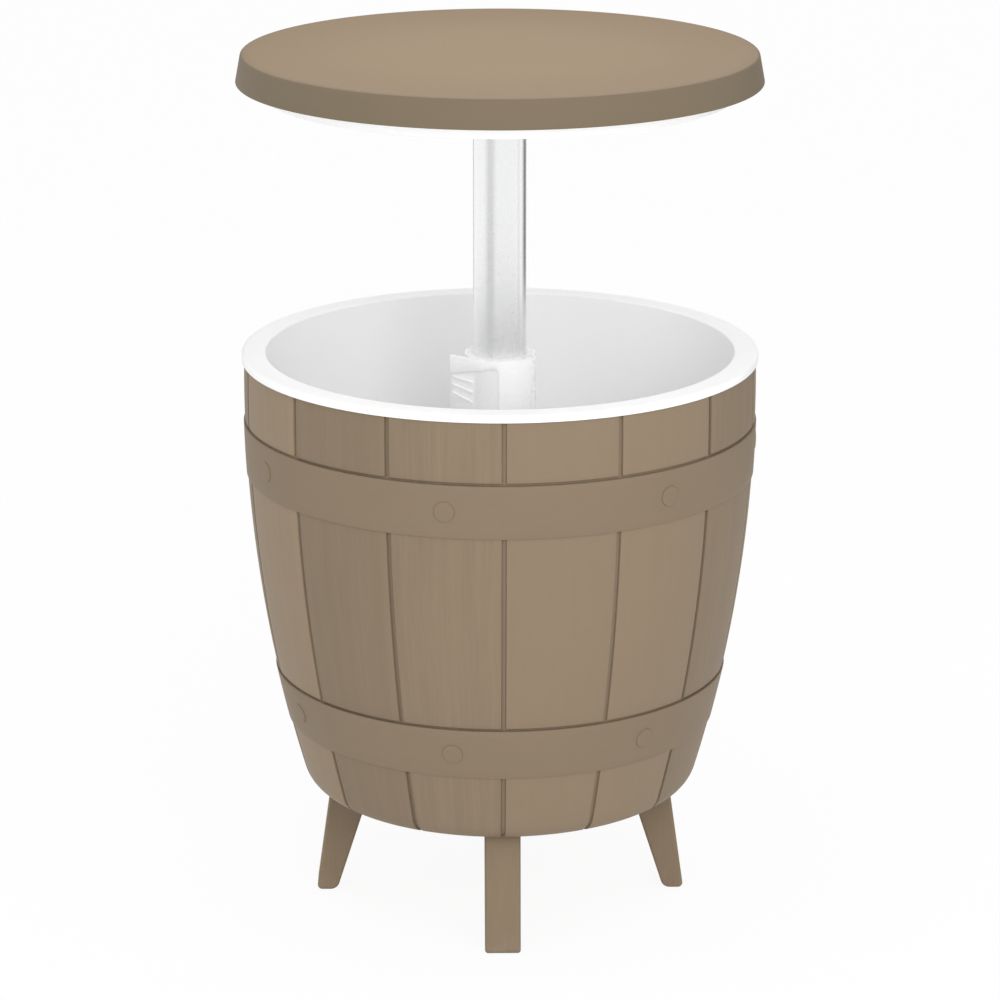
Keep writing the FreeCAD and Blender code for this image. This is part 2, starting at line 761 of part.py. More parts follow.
def lid_hub():
    """Flange on the liner's plate with a spigot inside the tube, a ring and radial ribs."""
    spigot_inner = inner_plug_r - hub_spigot_wall
    ring_r = pole_r + hub_ring_t
    flange_top = plate_top_z + hub_flange_t
    ring_top = plate_top_z + hub_ring_h
    spigot_low = plate_top_z - hub_spigot_len
    section = polygon([at(spigot_inner, spigot_low), at(inner_plug_r, spigot_low),
                       at(inner_plug_r, plate_top_z), at(hub_flange_r, plate_top_z),
                       at(hub_flange_r, flange_top), at(ring_r, flange_top),
                       at(ring_r, ring_top), at(spigot_inner, ring_top)])
    tip_r = hub_flange_r - 2 * hub_rib_tip_h
    rib = polygon([at(ring_r - overlap, flange_top - overlap), at(tip_r, flange_top - overlap),
                   at(tip_r, flange_top + hub_rib_tip_h), at(ring_r - overlap, ring_top)])
    rib.translate(Vector(0, -hub_rib_t / 2, 0))
    ribs = ring_of(rib.extrude(Vector(0, hub_rib_t, 0)), hub_rib_count, 180.0 / hub_rib_count)
    bores = [screw_bore(tapping_screw, point, up * -1, hole_clearance)
             for point in hub_screw_points(flange_top)]
    bores += cross_screw_bodies(screw_clearance, overlap)
    return fused(turned(section), ribs).cut(bores)


def hub_screws():
    seats = hub_screw_points(plate_top_z + hub_flange_t)
    kind = tapping_screw[:3] + (hub_flange_t + liner_t + hub_pad_t - screw_depth_spare,)
    return Part.makeCompound([screw(kind, seat, up * -1) for seat in seats])


lid_r = lip_outer_r + lid_overhang
crease_r = lid_r - lid_taper
dish_z = lid_top_z - lid_dish


def lid_skirt_r(height):
    """Outside radius of the lid's flared skirt."""
    return lid_r - (height - lid_low_z) * lid_taper / lid_height


def lid_top():
    """Table top: a flared skirt, a rounded crease and a very shallow dish."""
    lean = math.atan2(lid_taper, lid_height)
    bend = lid_crease_r
    land_r = crease_r - dish_land_w
    flat_r = land_r - dish_slope_w
    centre = at(crease_r - bend * math.tan((math.pi / 2 - lean) / 2 + lean / 2), lid_top_z - bend)
    skirt_end = centre + at(math.cos(lean), math.sin(lean)) * bend
    half_way = (math.pi / 2 + lean) / 2
    crease_mid = centre + at(math.cos(half_way), math.sin(half_way)) * bend
    crease_end = centre + at(0, bend)
    inner_low = at(lid_r - lid_wall, lid_low_z)
    inner_high = at(lid_skirt_r(lid_top_z - lid_wall) - lid_wall, lid_top_z - lid_wall)
    slope_mid = at((land_r + flat_r) / 2, dish_z + lid_dish * dish_sag)
    under_mid = slope_mid - at(0, lid_wall)
    under_z = dish_z - lid_wall
    section = [
        line(at(0, dish_z), at(flat_r, dish_z)),
        arc(at(flat_r, dish_z), slope_mid, at(land_r, lid_top_z)),
        line(at(land_r, lid_top_z), crease_end),
        arc(crease_end, crease_mid, skirt_end),
        line(skirt_end, at(lid_r, lid_low_z)),
        line(at(lid_r, lid_low_z), inner_low),
        line(inner_low, inner_high),
        line(inner_high, at(land_r, lid_top_z - lid_wall)),
        arc(at(land_r, lid_top_z - lid_wall), under_mid, at(flat_r, under_z)),
        line(at(flat_r, under_z), at(0, under_z)),
        line(at(0, under_z), at(0, dish_z)),
    ]
    top = turned(profile(section))
    inside_z = dish_z - lid_wall / 2
    bosses = [rod(lid_boss_r, plate_top_z, inside_z, point.x, point.y) for point in lid_boss_points(0)]
    rib = block((lid_rib_start_r, land_r), (-lid_rib_t / 2, lid_rib_t / 2), (under_z - lid_rib_h, inside_z))
    ribs = ring_of(rib, lid_boss_count, 180.0 / lid_boss_count)
    bores = [screw_bore(tapping_screw, point, up, screw_clearance) for point in lid_boss_points(plate_low_z)]
    return fused(top, bosses + ribs).cut(bores)


def lid_screws():
    seats = lid_boss_points(plate_low_z)
    return Part.makeCompound([screw(tapping_screw, seat, up) for seat in seats])


def lid_liner():
    """Thin white moulding: recessed plate, plug ring that enters the tub, and outer flange."""
    ring_r = mouth_r - lid_plug_gap
    ring_low_r = ring_r - lid_plug_drop * tub_lean
    ring_low_z = lid_low_z - lid_plug_drop
    wall_in = ring_r - lid_plug_w
    low_in = wall_in + lid_plug_drop * tub_lean
    edge_r = lid_skirt_r(lid_low_z + liner_t) - lid_wall - liner_edge_gap
    hole_r = pole_r + pole_hole_gap
    pad_low_z = plate_low_z - hub_pad_t
    section = polygon([
        at(hole_r, pad_low_z), at(hub_pad_r, pad_low_z), at(hub_pad_r, plate_low_z), at(wall_in, plate_low_z),
        at(low_in, ring_low_z), at(ring_low_r, ring_low_z), at(ring_r, lid_low_z), at(edge_r, lid_low_z),
        at(edge_r, lid_low_z + liner_t), at(ring_r - liner_t, lid_low_z + liner_t),
        at(ring_low_r - liner_t, ring_low_z + liner_t), at(low_in + liner_t, ring_low_z + liner_t),
        at(wall_in + liner_t, plate_top_z), at(hole_r, plate_top_z),
    ])
    bores = [screw_bore(tapping_screw, point, up, hole_clearance)
             for point in lid_boss_points(plate_low_z - 1.0)]
    hub_kind = tapping_screw[:3] + (hub_flange_t + liner_t + hub_pad_t - 2 * screw_depth_spare,)
    bores += [screw_bore(hub_kind, point, up * -1, screw_clearance)
              for point in hub_screw_points(plate_top_z + hub_flange_t)]
    return turned(section).cut(bores)


def drain_seal():
    top = spout_low_z - seal_seat_gap
    outer = spout_r + 0.5
    ring = tube(outer - seal_width, outer, top - seal_t, top)
    ring.translate(drain_point)
    return ring


def drain_plug():
    """Pull-out plug: stem with two sealing ribs, a head and a finger bar."""
    head_top = spout_low_z - seal_seat_gap - seal_t
    head_low = head_top - plug_head_t
    stem_top = head_top + plug_stem_len
    stem_r = drain_bore_r - plug_stem_gap
    rib_r = drain_bore_r - plug_rib_gap
    head = rod(plug_head_r, head_low, head_top)
    stem = rod(stem_r, head_top - overlap, stem_top)
    ribs = [rod(rib_r, stem_top - (2 * index + 2) * plug_rib_h, stem_top - (2 * index + 1) * plug_rib_h)
            for index in range(2)]
    bar = block((-plug_grip_w / 2, plug_grip_w / 2), (-plug_grip_t / 2, plug_grip_t / 2),
                (head_low - plug_grip_h, head_low + overlap))
    bar = bar.makeFillet(plug_grip_t * 0.4, [edge for edge in bar.Edges if edge.CenterOfMass.z < head_low])
    plug = fused(head, [stem, bar] + ribs)
    plug.translate(drain_point)
    return plug


def all_pieces():
    pieces = {
        "barrel_shell": barrel_shell(),
        "tub_liner": tub_liner(),
        "shell_screws": shell_screws(),
        "leg_screws": leg_screws(),
        "centre_column": centre_column(),
        "column_screws": column_screws(),
        "guide_bush": guide_bush(),
        "clamp_collar": clamp_collar(),
        "collar_screws": collar_screws(),
        "clamp_pin": clamp_pin(),
        "brake_pad": brake_pad(),
        "clamp_lever": clamp_lever(),
        "pole": pole(),
        "pole_end_cap": pole_end_cap(),
        "pole_glide": pole_glide(),
        "glide_retainer": glide_retainer(),
        "pole_screws": pole_screws(),
        "lid_hub": lid_hub(),
        "hub_screws": hub_screws(),
        "lid_top": lid_top(),
        "lid_liner": lid_liner(),
        "lid_screws": lid_screws(),
        "drain_plug": drain_plug(),
        "drain_seal": drain_seal(),
    }
    one_leg = leg()
    for name, azimuth in leg_azimuths.items():
        pieces[name] = turn_to(one_leg, azimuth)
    return pieces


os.makedirs("parts", exist_ok=True)
for node, shape in all_pieces().items():
    shape.exportStep("parts/" + node + ".step")
    state = "valid" if shape.isValid() else "INVALID"
    print(node, state, len(shape.Solids), "solids", round(shape.Volume / 1000, 1), "cm3")
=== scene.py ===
"""Looks of the barrel cooler table.

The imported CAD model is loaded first. The operators below lay detailed pieces over its plain ones, give every
piece its finish and set the stage. Lengths of the outlines are in millimetres, Blender's own in metres.
"""

import json
import math

import bmesh
import bpy
from mathutils import Matrix, Vector


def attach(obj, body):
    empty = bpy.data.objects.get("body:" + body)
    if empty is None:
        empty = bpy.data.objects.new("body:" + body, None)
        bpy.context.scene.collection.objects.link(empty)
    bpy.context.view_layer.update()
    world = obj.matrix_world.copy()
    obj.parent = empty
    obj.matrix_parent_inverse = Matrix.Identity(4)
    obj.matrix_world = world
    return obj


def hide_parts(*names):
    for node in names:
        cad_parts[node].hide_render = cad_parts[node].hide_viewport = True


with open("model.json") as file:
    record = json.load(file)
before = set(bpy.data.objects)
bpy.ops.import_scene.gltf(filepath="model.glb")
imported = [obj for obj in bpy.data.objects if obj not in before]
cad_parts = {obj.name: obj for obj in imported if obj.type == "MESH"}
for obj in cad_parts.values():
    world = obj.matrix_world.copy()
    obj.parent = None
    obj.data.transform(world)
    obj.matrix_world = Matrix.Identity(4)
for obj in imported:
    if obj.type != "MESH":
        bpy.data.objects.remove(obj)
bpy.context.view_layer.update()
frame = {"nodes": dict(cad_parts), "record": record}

bl_info = {
    "name": "Barrel cooler table",
    "version": (1, 0, 0),
    "blender": (4, 5, 0),
    "location": "3D View > Sidebar > Cooler table",
    "description": "Builds the looks of a barrel cooler table with a lifting lid round its CAD model",
    "category": "Add Mesh",
}

MM = 0.001                                   # a millimetre in Blender's metres
SAME_PLACE = 1e-6                            # points closer than this are merged
AT_RING = 1e-5                               # how near a point lies to the circle it is looked for on

# Sizes of the CAD model that the pieces here follow, in millimetres
STAVES = 14
HOOPS = ((188.0, 238.5), (432.0, 482.5))     # lower and upper edge of each hoop
RIM_Z = 549.0                                # top of the tub's rim
BASE_Z = 116.3                               # flat underside of the barrel
BELLY_Z = 508.5                              # height at which the barrel is widest
BARREL_R = 244.5                             # and its radius there
BOW_R = 1356.0                               # radius of the staves' bow
BASE_ROUND = 26.2                            # round between bow and underside
POLE_R = 25.5                                # outside of the aluminium tube
LID_LOW, LID_TOP = 808.2, 834.8              # lower edge and top of the raised lid
LID_R = 247.40                               # lower edge of the skirt, just inside the CAD lid
CLAMP_TOP = 545.0
COLLAR_R = 33.97                             # outside of the clamp collar


# Shader nodes written as expressions

class Socket:
    """One node output, or a plain number, that shader maths can be written with."""

    def __init__(self, sheet, value):
        self.sheet = sheet
        self.value = value

    def maths(self, operation, *others):
        return self.sheet.node("ShaderNodeMath", {"operation": operation}, dict(enumerate([self, *others])))

    def __add__(self, other):
        return self.maths("ADD", other)

    def __radd__(self, other):
        return self.maths("ADD", other)

    def __sub__(self, other):
        return self.maths("SUBTRACT", other)

    def __rsub__(self, other):
        return Socket(self.sheet, other).maths("SUBTRACT", self)

    def __mul__(self, other):
        return self.maths("MULTIPLY", other)

    def __rmul__(self, other):
        return self.maths("MULTIPLY", other)

    def __truediv__(self, other):
        return self.maths("DIVIDE", other)

    def __pow__(self, other):
        return self.maths("POWER", other)

    def __neg__(self):
        return self.maths("MULTIPLY", -1.0)

    def __abs__(self):
        return self.maths("ABSOLUTE")

    def __gt__(self, other):
        return self.maths("GREATER_THAN", other)

    def __lt__(self, other):
        return self.maths("LESS_THAN", other)

    def floor(self):
        return self.maths("FLOOR")

    def most(self, other):
        return self.maths("MAXIMUM", other)

    def rise(self, low, high):
        """0 below low and 1 above high, with a smooth step between."""
        return self.sheet.node("ShaderNodeMapRange",
                               {"interpolation_type": "SMOOTHSTEP", "clamp": True},
                               {"Value": self, "From Min": low, "From Max": high,
                                "To Min": 0.0, "To Max": 1.0})


class Sheet:
    """The node sheet of one finish, or of the world."""

    def __init__(self, owner, output="ShaderNodeOutputMaterial"):
        owner.use_nodes = True
        self.owner = owner
        self.tree = owner.node_tree
        self.tree.nodes.clear()
        self.output = self.tree.nodes.new(output)

    def node(self, kind, settings=None, values=None, out=0):
        """Any node: settings are set first, then each input gets a number, a colour or a link."""
        made = self.tree.nodes.new(kind)
        for key, setting in (settings or {}).items():
            if key == "stops":
                self.set_stops(made.color_ramp, setting)
            else:
                setattr(made, key, setting)
        for key, value in (values or {}).items():
            self.feed(made.inputs[key], value)
        return Socket(self, made.outputs[out])

    @staticmethod
    def set_stops(ramp, stops):
        while len(ramp.elements) < len(stops):
            ramp.elements.new(1.0)
        for element, (position, colour) in zip(ramp.elements, stops):
            element.position = position
            element.color = tuple(colour) + (1.0,)

    def feed(self, target, value):
        if isinstance(value, Socket):
            value = value.value
        if isinstance(value, bpy.types.NodeSocket):
            self.tree.links.new(value, target)
        elif target.type == "RGBA" and len(value) == 3:
            target.default_value = tuple(value) + (1.0,)
        else:
            target.default_value = value

    def place(self, kind="Object"):
        """Object coordinates in metres, or the world's directions for "Generated"."""
        return self.node("ShaderNodeTexCoord", out=kind)

    def split(self, vector):
        """The x, y and z of a vector."""
        return [self.node("ShaderNodeSeparateXYZ", values={"Vector": vector}, out=axis) for axis in "XYZ"]

    def round_axis(self, vector):
        """The angle from the front in radians, the distance from the upright axis and the height."""
        x, y, z = self.split(vector)
        return x.maths("ARCTAN2", -y), (x * x + y * y) ** 0.5, z

    def vector(self, x, y, z):
        return self.node("ShaderNodeCombineXYZ", values={"X": x, "Y": y, "Z": z})

    def noise(self, where, scale, detail, rough=0.5):
        """Cloudy noise from 0 to 1 round 0.5, with so many cells to the metre and so many finer layers."""
        return self.node("ShaderNodeTexNoise", {"normalize": True},
                         {"Vector": where, "Scale": scale, "Detail": detail, "Roughness": rough})

    def blend(self, first, second, share):
        """Two colours mixed by a share that varies."""
        made = self.tree.nodes.new("ShaderNodeMix")
        made.data_type = "RGBA"
        made.clamp_factor = True
        self.feed(made.inputs["Factor"], share)
        ends = [end for end in made.inputs if end.type == "RGBA"]
        self.feed(ends[0], first)
        self.feed(ends[1], second)
        return Socket(self, [end for end in made.outputs if end.type == "RGBA"][0])

    def shade(self, colour, share):
        """A colour made darker or lighter by a factor that varies."""
        return self.node("ShaderNodeVectorMath", {"operation": "SCALE"}, {0: colour, "Scale": share})

    def bump(self, height, depth):
        """Bump from a height of 0 to 1 that stands for so many metres."""
        return self.node("ShaderNodeBump", None, {"Height": height, "Strength": 1.0, "Distance": depth})

    def ramp(self, share, stops):
        """A line through grey stops (position, value) over a share of 0 to 1."""
        return self.node("ShaderNodeValToRGB", {"stops": [(place, (grey,) * 3) for place, grey in stops]},
                         {"Fac": share})

    def seen(self):
        """1 where the camera looks at a surface, straight, mirrored or through something."""
        rays = [self.node("ShaderNodeLightPath", out=ray)
                for ray in ("Is Camera Ray", "Is Glossy Ray", "Is Transmission Ray")]
        return rays[0].most(rays[1]).most(rays[2])

    def surface(self, colour, rough, normal, **constants):
        """The finished surface; constants are set on the shader's own sockets."""
        values = {"Base Color": colour, "Roughness": rough, "Normal": normal}
        values.update({key.replace("_", " "): value for key, value in constants.items()})
        return self.finish(self.node("ShaderNodeBsdfPrincipled", None, values))

    def finish(self, shader):
        self.feed(self.output.inputs["Surface"], shader)
        return self.owner


def finish_sheet(name):
    """The empty node sheet of a new finish."""
    return Sheet(bpy.data.materials.new(name))


# Finishes

PITCH = math.tau / STAVES                     # from one line between staves to the next

# How strong the wood grain is on each stave, and how light the stave is: from the back round by the left to the
# front, and on by the right
STAVE_GRAIN = (0.5, 0.8, 0.4, 0.7, 0.75, 0.55, 1.0, 0.15, 0.22, 0.8, 0.4, 0.9, 0.3, 0.6)
STAVE_TONE = (1.02, 0.97, 1.05, 0.96, 1.14, 0.89, 0.96, 1.02, 1.04, 0.94, 1.04, 0.98, 0.95, 1.0)
HOOP_TONE = 0.93
GRAIN_R = 0.24                                # the grain is laid out on a barrel of this radius, in metres
TAUPE_SPECULAR = 0.22                         # staves and legs reflect less than the table top


def spark_texture(sheet, vector, size=0.0011):
    """The fine pitted skin of a moulded part, from 0 to 1; size is that of a pit in metres."""
    fine = sheet.noise(vector, 1.0 / size, 2.0, 0.6)
    coarse = sheet.noise(vector, 0.28 / size, 1.0, 0.5)
    return fine * 0.65 + coarse * 0.35


def by_stave(sheet, share, values):
    """A value for each stave, from a tuple that starts at the back; share counts staves from the front."""
    count = len(values)
    stops = [((index + 0.5) / count, value) for index, value in enumerate(values)]
    return sheet.ramp((share.floor() + (count / 2 + 0.5)) / count, stops)


def hoop_mask(z):
    """1 on a hoop and 0 beside it."""
    mask = z * 0.0
    for low, high in HOOPS:
        mask = mask + (z > low * MM) * (z < high * MM)
    return mask


def line_shade_mask(share, radius, z, groove_w, off_hoop):
    """How far a point is down in a line between staves or above a hoop: the mask of the painted shade in these
    lines.
    """
    from_line = abs(share - (share + 0.5).floor()) * radius * PITCH
    foot = 1.0 - abs(from_line - groove_w * 0.42).rise(0.0002, 0.0010)
    line_shade_share = (1.0 - from_line.rise(groove_w * 0.40, groove_w * 0.56)) * 0.45 + foot * 0.55
    line_shade_share = line_shade_share * off_hoop
    for _, high in HOOPS:
        above_hoop = abs(z - (high + 1.2) * MM)
        line_shade_share = line_shade_share.most((1.0 - above_hoop.rise(0.0008, 0.0022)) * 0.7)
    return line_shade_share


def stave_finish(colours, groove_w):
    """Taupe moulded plastic with straight wood grain on some staves and a fine painted shade in the lines."""
    sheet = finish_sheet("taupe_stave_plastic")
    vector = sheet.place()
    angle, radius, z = sheet.round_axis(vector)
    share = angle * (STAVES / math.tau)
    on_hoop = hoop_mask(z)
    off_hoop = 1.0 - on_hoop
    around = angle * GRAIN_R
    seed = share.floor() * 0.37               # another patch of the noise for each stave
    wander = sheet.noise(sheet.vector(around * 5.0, seed, z * 2.5), 2.0, 1.0) * 0.010
    streak = sheet.noise(sheet.vector(around + wander, seed, z * 0.030), 105.0, 3.0, 0.55) - 0.5
    fibre = sheet.noise(sheet.vector(around + wander, seed + 0.1, z * 0.040), 430.0, 3.0, 0.6) - 0.5
    pore = sheet.noise(sheet.vector(around, seed + 0.2, z * 0.018), 900.0, 2.0, 0.6) - 0.5
    brush = sheet.noise(sheet.vector(around * 0.06, radius, z), 620.0, 3.0, 0.6) - 0.5
    strength = by_stave(sheet, share, STAVE_GRAIN) * off_hoop
    grain = (streak * 0.55 + fibre * 0.30 + pore * 0.15) * strength + brush * (on_hoop * 0.12)
    cloud = sheet.noise(vector, 6.0, 3.0, 0.55) - 0.5
    spark = spark_texture(sheet, vector) - 0.5
    line_shade_share = line_shade_mask(share, radius, z, groove_w, off_hoop)
    base_tone = by_stave(sheet, share, STAVE_TONE) * off_hoop + on_hoop * HOOP_TONE
    tone = base_tone + grain * 0.40 + cloud * 0.07 + spark * 0.07
    warm = sheet.blend(colours.stave, colours.stave_light, 0.35 + grain * 1.3)
    # Painted shade: the lines between staves and above the hoops are darkened towards a shade colour.
    colour = sheet.shade(sheet.blend(warm, colours.painted_line_shade, line_shade_share * 0.36), tone)
    rough = 0.56 + spark * 0.20 + grain * 0.30 + line_shade_share * 0.10
    height = 0.5 + spark * 0.25 + grain * 0.75
    return sheet.surface(colour, rough, sheet.bump(height, 0.00035), Specular_IOR_Level=TAUPE_SPECULAR)


def lid_finish(colours):
    """Taupe plastic of the table top: fine pitted skin and flow marks, its top painted lighter as light, with
    painted shade on the outer part and a skirt painted darker as shade.
    """
    sheet = finish_sheet("taupe_top_plastic")
    vector = sheet.place()
    x, y, z = sheet.split(vector)
    _, radius, _ = sheet.round_axis(vector)
    spark = spark_texture(sheet, vector, 0.0012) - 0.5
    cloud = sheet.noise(vector, 4.0, 3.0, 0.5) - 0.5
    flow = sheet.noise(sheet.vector(x * 0.6, y, z), 26.0, 3.0, 0.55) - 0.5
    speck = sheet.noise(vector, 1900.0, 1.0, 0.5).rise(0.62, 0.80)
    scratch = sheet.noise(sheet.vector(x * 0.05, y, 0.0), 1300.0, 2.0, 0.4).rise(0.64, 0.74)
    # Painted shade: the skirt is the same plastic as the top, given a darker colour as shade.
    skirt = radius.rise((LID_R - 8.0) * MM, (LID_R - 5.0) * MM)
    # Painted shade: the top is darkened towards its outer part, where the dish slopes and the crease bends.
    painted_outer_shade = (radius.rise(0.090, 0.240) * 0.12 + radius.rise(0.226, 0.242) * 0.06) * (1.0 - skirt)
    tone = 1.0 + cloud * 0.04 + flow * 0.03 + spark * 0.08 + speck * 0.04 - painted_outer_shade
    # Painted light and shade: the top's colour is lighter for its upward face and the skirt's darker.
    colour = sheet.shade(sheet.blend(colours.top, colours.skirt, skirt), tone)
    rough = 0.54 + spark * 0.20 + scratch * 0.06 + skirt * 0.06
    height = 0.5 + spark * 0.8 + scratch * 0.12
    return sheet.surface(colour, rough, sheet.bump(height, 0.00014), Specular_IOR_Level=0.36)


def leg_finish(colours):
    """Taupe plastic of the legs, with an upright grain and dust near the ground."""
    sheet = finish_sheet("taupe_leg_plastic")
    vector = sheet.place()
    x, y, z = sheet.split(vector)
    fibre = sheet.noise(sheet.vector(x, y, z * 0.04), 300.0, 3.0, 0.6) - 0.5
    streak = sheet.noise(sheet.vector(x, y, z * 0.05), 90.0, 2.0, 0.5) - 0.5
    spark = spark_texture(sheet, vector) - 0.5
    dust = (1.0 - z.rise(0.0, 0.030)) * sheet.noise(vector, 60.0, 3.0, 0.6).rise(0.35, 0.7)
    grain = fibre * 0.6 + streak * 0.4
    tone = 1.0 + grain * 0.22 + spark * 0.07
    colour = sheet.shade(sheet.blend(colours.stave, colours.dust, dust * 0.12), tone)
    rough = 0.56 + spark * 0.2 + dust * 0.2
    height = 0.5 + spark * 0.3 + grain * 0.6
    return sheet.surface(colour, rough, sheet.bump(height, 0.00030), Specular_IOR_Level=TAUPE_SPECULAR)


def tub_finish(colours):
    """White satin plastic of the tub and the lid's underside, with faint water stains low down."""
    sheet = finish_sheet("white_tub_plastic")
    vector = sheet.place()
    z = sheet.split(vector)[2]
    spark = spark_texture(sheet, vector, 0.0009)
    cloud = sheet.noise(vector, 9.0, 4.0, 0.6)
    edge = sheet.noise(vector, 26.0, 5.0, 0.6)
    stain = (edge - abs(edge - 0.5)).rise(0.40, 0.52) * (1.0 - z.rise(0.17, 0.24))
    colour = sheet.shade(sheet.blend(colours.tub_white, colours.stain, stain * 0.22),
                         1.0 + (cloud - 0.5) * 0.035 + (spark - 0.5) * 0.02)
    rough = 0.34 + (spark - 0.5) * 0.16 + (cloud - 0.5) * 0.08 + stain * 0.15
    height = spark * 0.5 + cloud * 0.5
    return sheet.surface(colour, rough, sheet.bump(height, 0.00012), Specular_IOR_Level=0.5)


def clamp_finish(colours):
    """Glossy white plastic of the collar and lever, with hair scratches and finger marks."""
    sheet = finish_sheet("white_clamp_plastic")
    vector = sheet.place()
    x, y, z = sheet.split(vector)
    flow = sheet.noise(vector, 55.0, 3.0, 0.5)
    smear = sheet.noise(vector, 120.0, 4.0, 0.65).rise(0.45, 0.7)
    along = sheet.vector(x * 0.15 + z * 0.6, y, z * 0.15 - x * 0.5)
    hair = sheet.noise(along, 2400.0, 1.0, 0.4).rise(0.62, 0.74)
    smeared = sheet.blend(colours.clamp_white, colours.stain, smear * 0.05)
    colour = sheet.shade(smeared, 1.0 + (flow - 0.5) * 0.03)
    rough = 0.26 + smear * 0.08 + hair * 0.06
    return sheet.surface(colour, rough, sheet.bump(flow, 0.00003), Specular_IOR_Level=0.55)


def bearing_finish(colours):
    """Waxy off-white plastic of the hub, bush, glide and cap, with turning marks."""
    sheet = finish_sheet("waxy_bearing_plastic")
    vector = sheet.place()
    _, radius, z = sheet.round_axis(vector)
    rings = sheet.noise(sheet.vector(radius * 4.0, 0.0, z), 900.0, 2.0, 0.5)
    cloud = sheet.noise(vector, 40.0, 3.0, 0.5)
    colour = sheet.shade(colours.bearing_white, 1.0 + (cloud - 0.5) * 0.06 + (rings - 0.5) * 0.03)
    rough = 0.42 + (rings - 0.5) * 0.2
    return sheet.surface(colour, rough, sheet.bump(rings, 0.00008), Specular_IOR_Level=0.45)


def tube_finish(colours):
    """Satin drawn aluminium with fine die lines along it, faint rub rings and a dull oxide bloom."""
    sheet = finish_sheet("drawn_aluminium_tube")
    vector = sheet.place()
    angle, _, z = sheet.round_axis(vector)
    around = angle * (POLE_R * MM)
    lines = sheet.noise(sheet.vector(around, 0.0, z * 0.003), 2600.0, 3.0, 0.6) - 0.5
    wide = sheet.noise(sheet.vector(around, 0.3, z * 0.008), 420.0, 2.0, 0.5) - 0.5
    rubbed = sheet.noise(sheet.vector(around * 0.2, 0.0, z), 500.0, 3.0, 0.6).rise(0.58, 0.8)
    bloom = sheet.noise(vector, 22.0, 4.0, 0.6) - 0.5
    tone = 0.985 + lines * 0.035 + wide * 0.03 + bloom * 0.03
    colour = sheet.shade(colours.aluminium, tone)
    rough = 0.27 + lines * 0.06 + bloom * 0.07 + rubbed * 0.05
    height = 0.5 + lines * 0.5 + wide * 0.5
    return sheet.surface(colour, rough, sheet.bump(height, 0.000002), Metallic=1.0, Anisotropic=0.9,
                         Anisotropic_Rotation=0.25)


def steel_finish(colours):
    """Zinc-plated steel of the screws, pin and snap ring."""
    sheet = finish_sheet("zinc_plated_steel")
    vector = sheet.place()
    spangle = sheet.node("ShaderNodeTexVoronoi", {"feature": "F1"},
                         {"Vector": vector, "Scale": 900.0}, "Color")
    patch = sheet.node("ShaderNodeSeparateColor", None, {"Color": spangle}, "Red")
    bloom = sheet.noise(vector, 220.0, 3.0, 0.6)
    colour = sheet.shade(colours.zinc, 0.94 + patch * 0.10 + (bloom - 0.5) * 0.12)
    rough = 0.30 + patch * 0.10 + bloom * 0.14
    return sheet.surface(colour, rough, sheet.bump(bloom, 0.00004), Metallic=1.0)


def rubber_finish(colours):
    """Matt black rubber of the brake pad and the drain seal."""
    sheet = finish_sheet("matt_black_rubber")
    vector = sheet.place()
    skin = sheet.noise(vector, 1500.0, 3.0, 0.6)
    dust = sheet.noise(vector, 90.0, 4.0, 0.6).rise(0.5, 0.8)
    colour = sheet.shade(sheet.blend(colours.rubber, colours.dust, dust * 0.12), 0.9 + skin * 0.2)
    rough = 0.72 + skin * 0.14
    return sheet.surface(colour, rough, sheet.bump(skin, 0.00012), Specular_IOR_Level=0.22)


# Helpers that turn an outline into a finished piece

def full_turn(mesh, outline, steps):
    """Spin an outline once round the upright axis."""
    bmesh.ops.spin(mesh, geom=outline, cent=(0, 0, 0), axis=(0, 0, 1), angle=math.tau, steps=steps,
                   use_merge=True, use_duplicate=False)


def close_up(mesh):
    """Merge doubles and turn the faces outwards."""
    bmesh.ops.remove_doubles(mesh, verts=mesh.verts[:], dist=SAME_PLACE)
    bmesh.ops.recalc_face_normals(mesh, faces=mesh.faces[:])


def spun(mesh, outline, steps, closed=False):
    """Spin (radius, height) points in millimetres round the upright axis and close the seam."""
    chain = [mesh.verts.new((radius * MM, 0.0, height * MM)) for radius, height in outline]
    pairs = list(zip(chain, chain[1:]))
    if closed:
        pairs.append((chain[-1], chain[0]))
    full_turn(mesh, chain + [mesh.edges.new(pair) for pair in pairs], steps)
    close_up(mesh)


def soften(mesh, edges, width, rounds=2):
    """Round edges off by a width in millimetres."""
    bmesh.ops.bevel(mesh, geom=edges, offset=width * MM, offset_type="OFFSET", segments=rounds, profile=0.5,
                    affect="EDGES", clamp_overlap=True, material=-1)


def arc_points(centre, radius, first, last, count):
    """Points of an arc in the outline plane, angles in degrees."""
    angles = [math.radians(first + (last - first) * index / count) for index in range(count + 1)]
    return [(centre[0] + radius * math.cos(angle), centre[1] + radius * math.sin(angle)) for angle in angles]


def finish_piece(mesh, name, body, material, replaced, crease=34.0):
    """Turn a bmesh into an object that rides on its CAD body and stands for CAD nodes.

    It is shaded smooth except over edges sharper than the crease, in degrees.
    """
    limit = math.radians(crease)
    for face in mesh.faces:
        face.smooth = True
    for edge in mesh.edges:
        edge.smooth = len(edge.link_faces) == 2 and edge.calc_face_angle(0.0) < limit
    data = bpy.data.meshes.new(name)
    mesh.to_mesh(data)
    mesh.free()
    data.materials.append(material)
    piece = bpy.data.objects.new(name, data)
    bpy.context.scene.collection.objects.link(piece)
    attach(piece, body)
    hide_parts(*replaced)


def dress(node, material):
    """Give a carried-over CAD node its finish."""
    piece = frame["nodes"][node]
    piece.data.materials.clear()
    piece.data.materials.append(material)


# Barrel outline

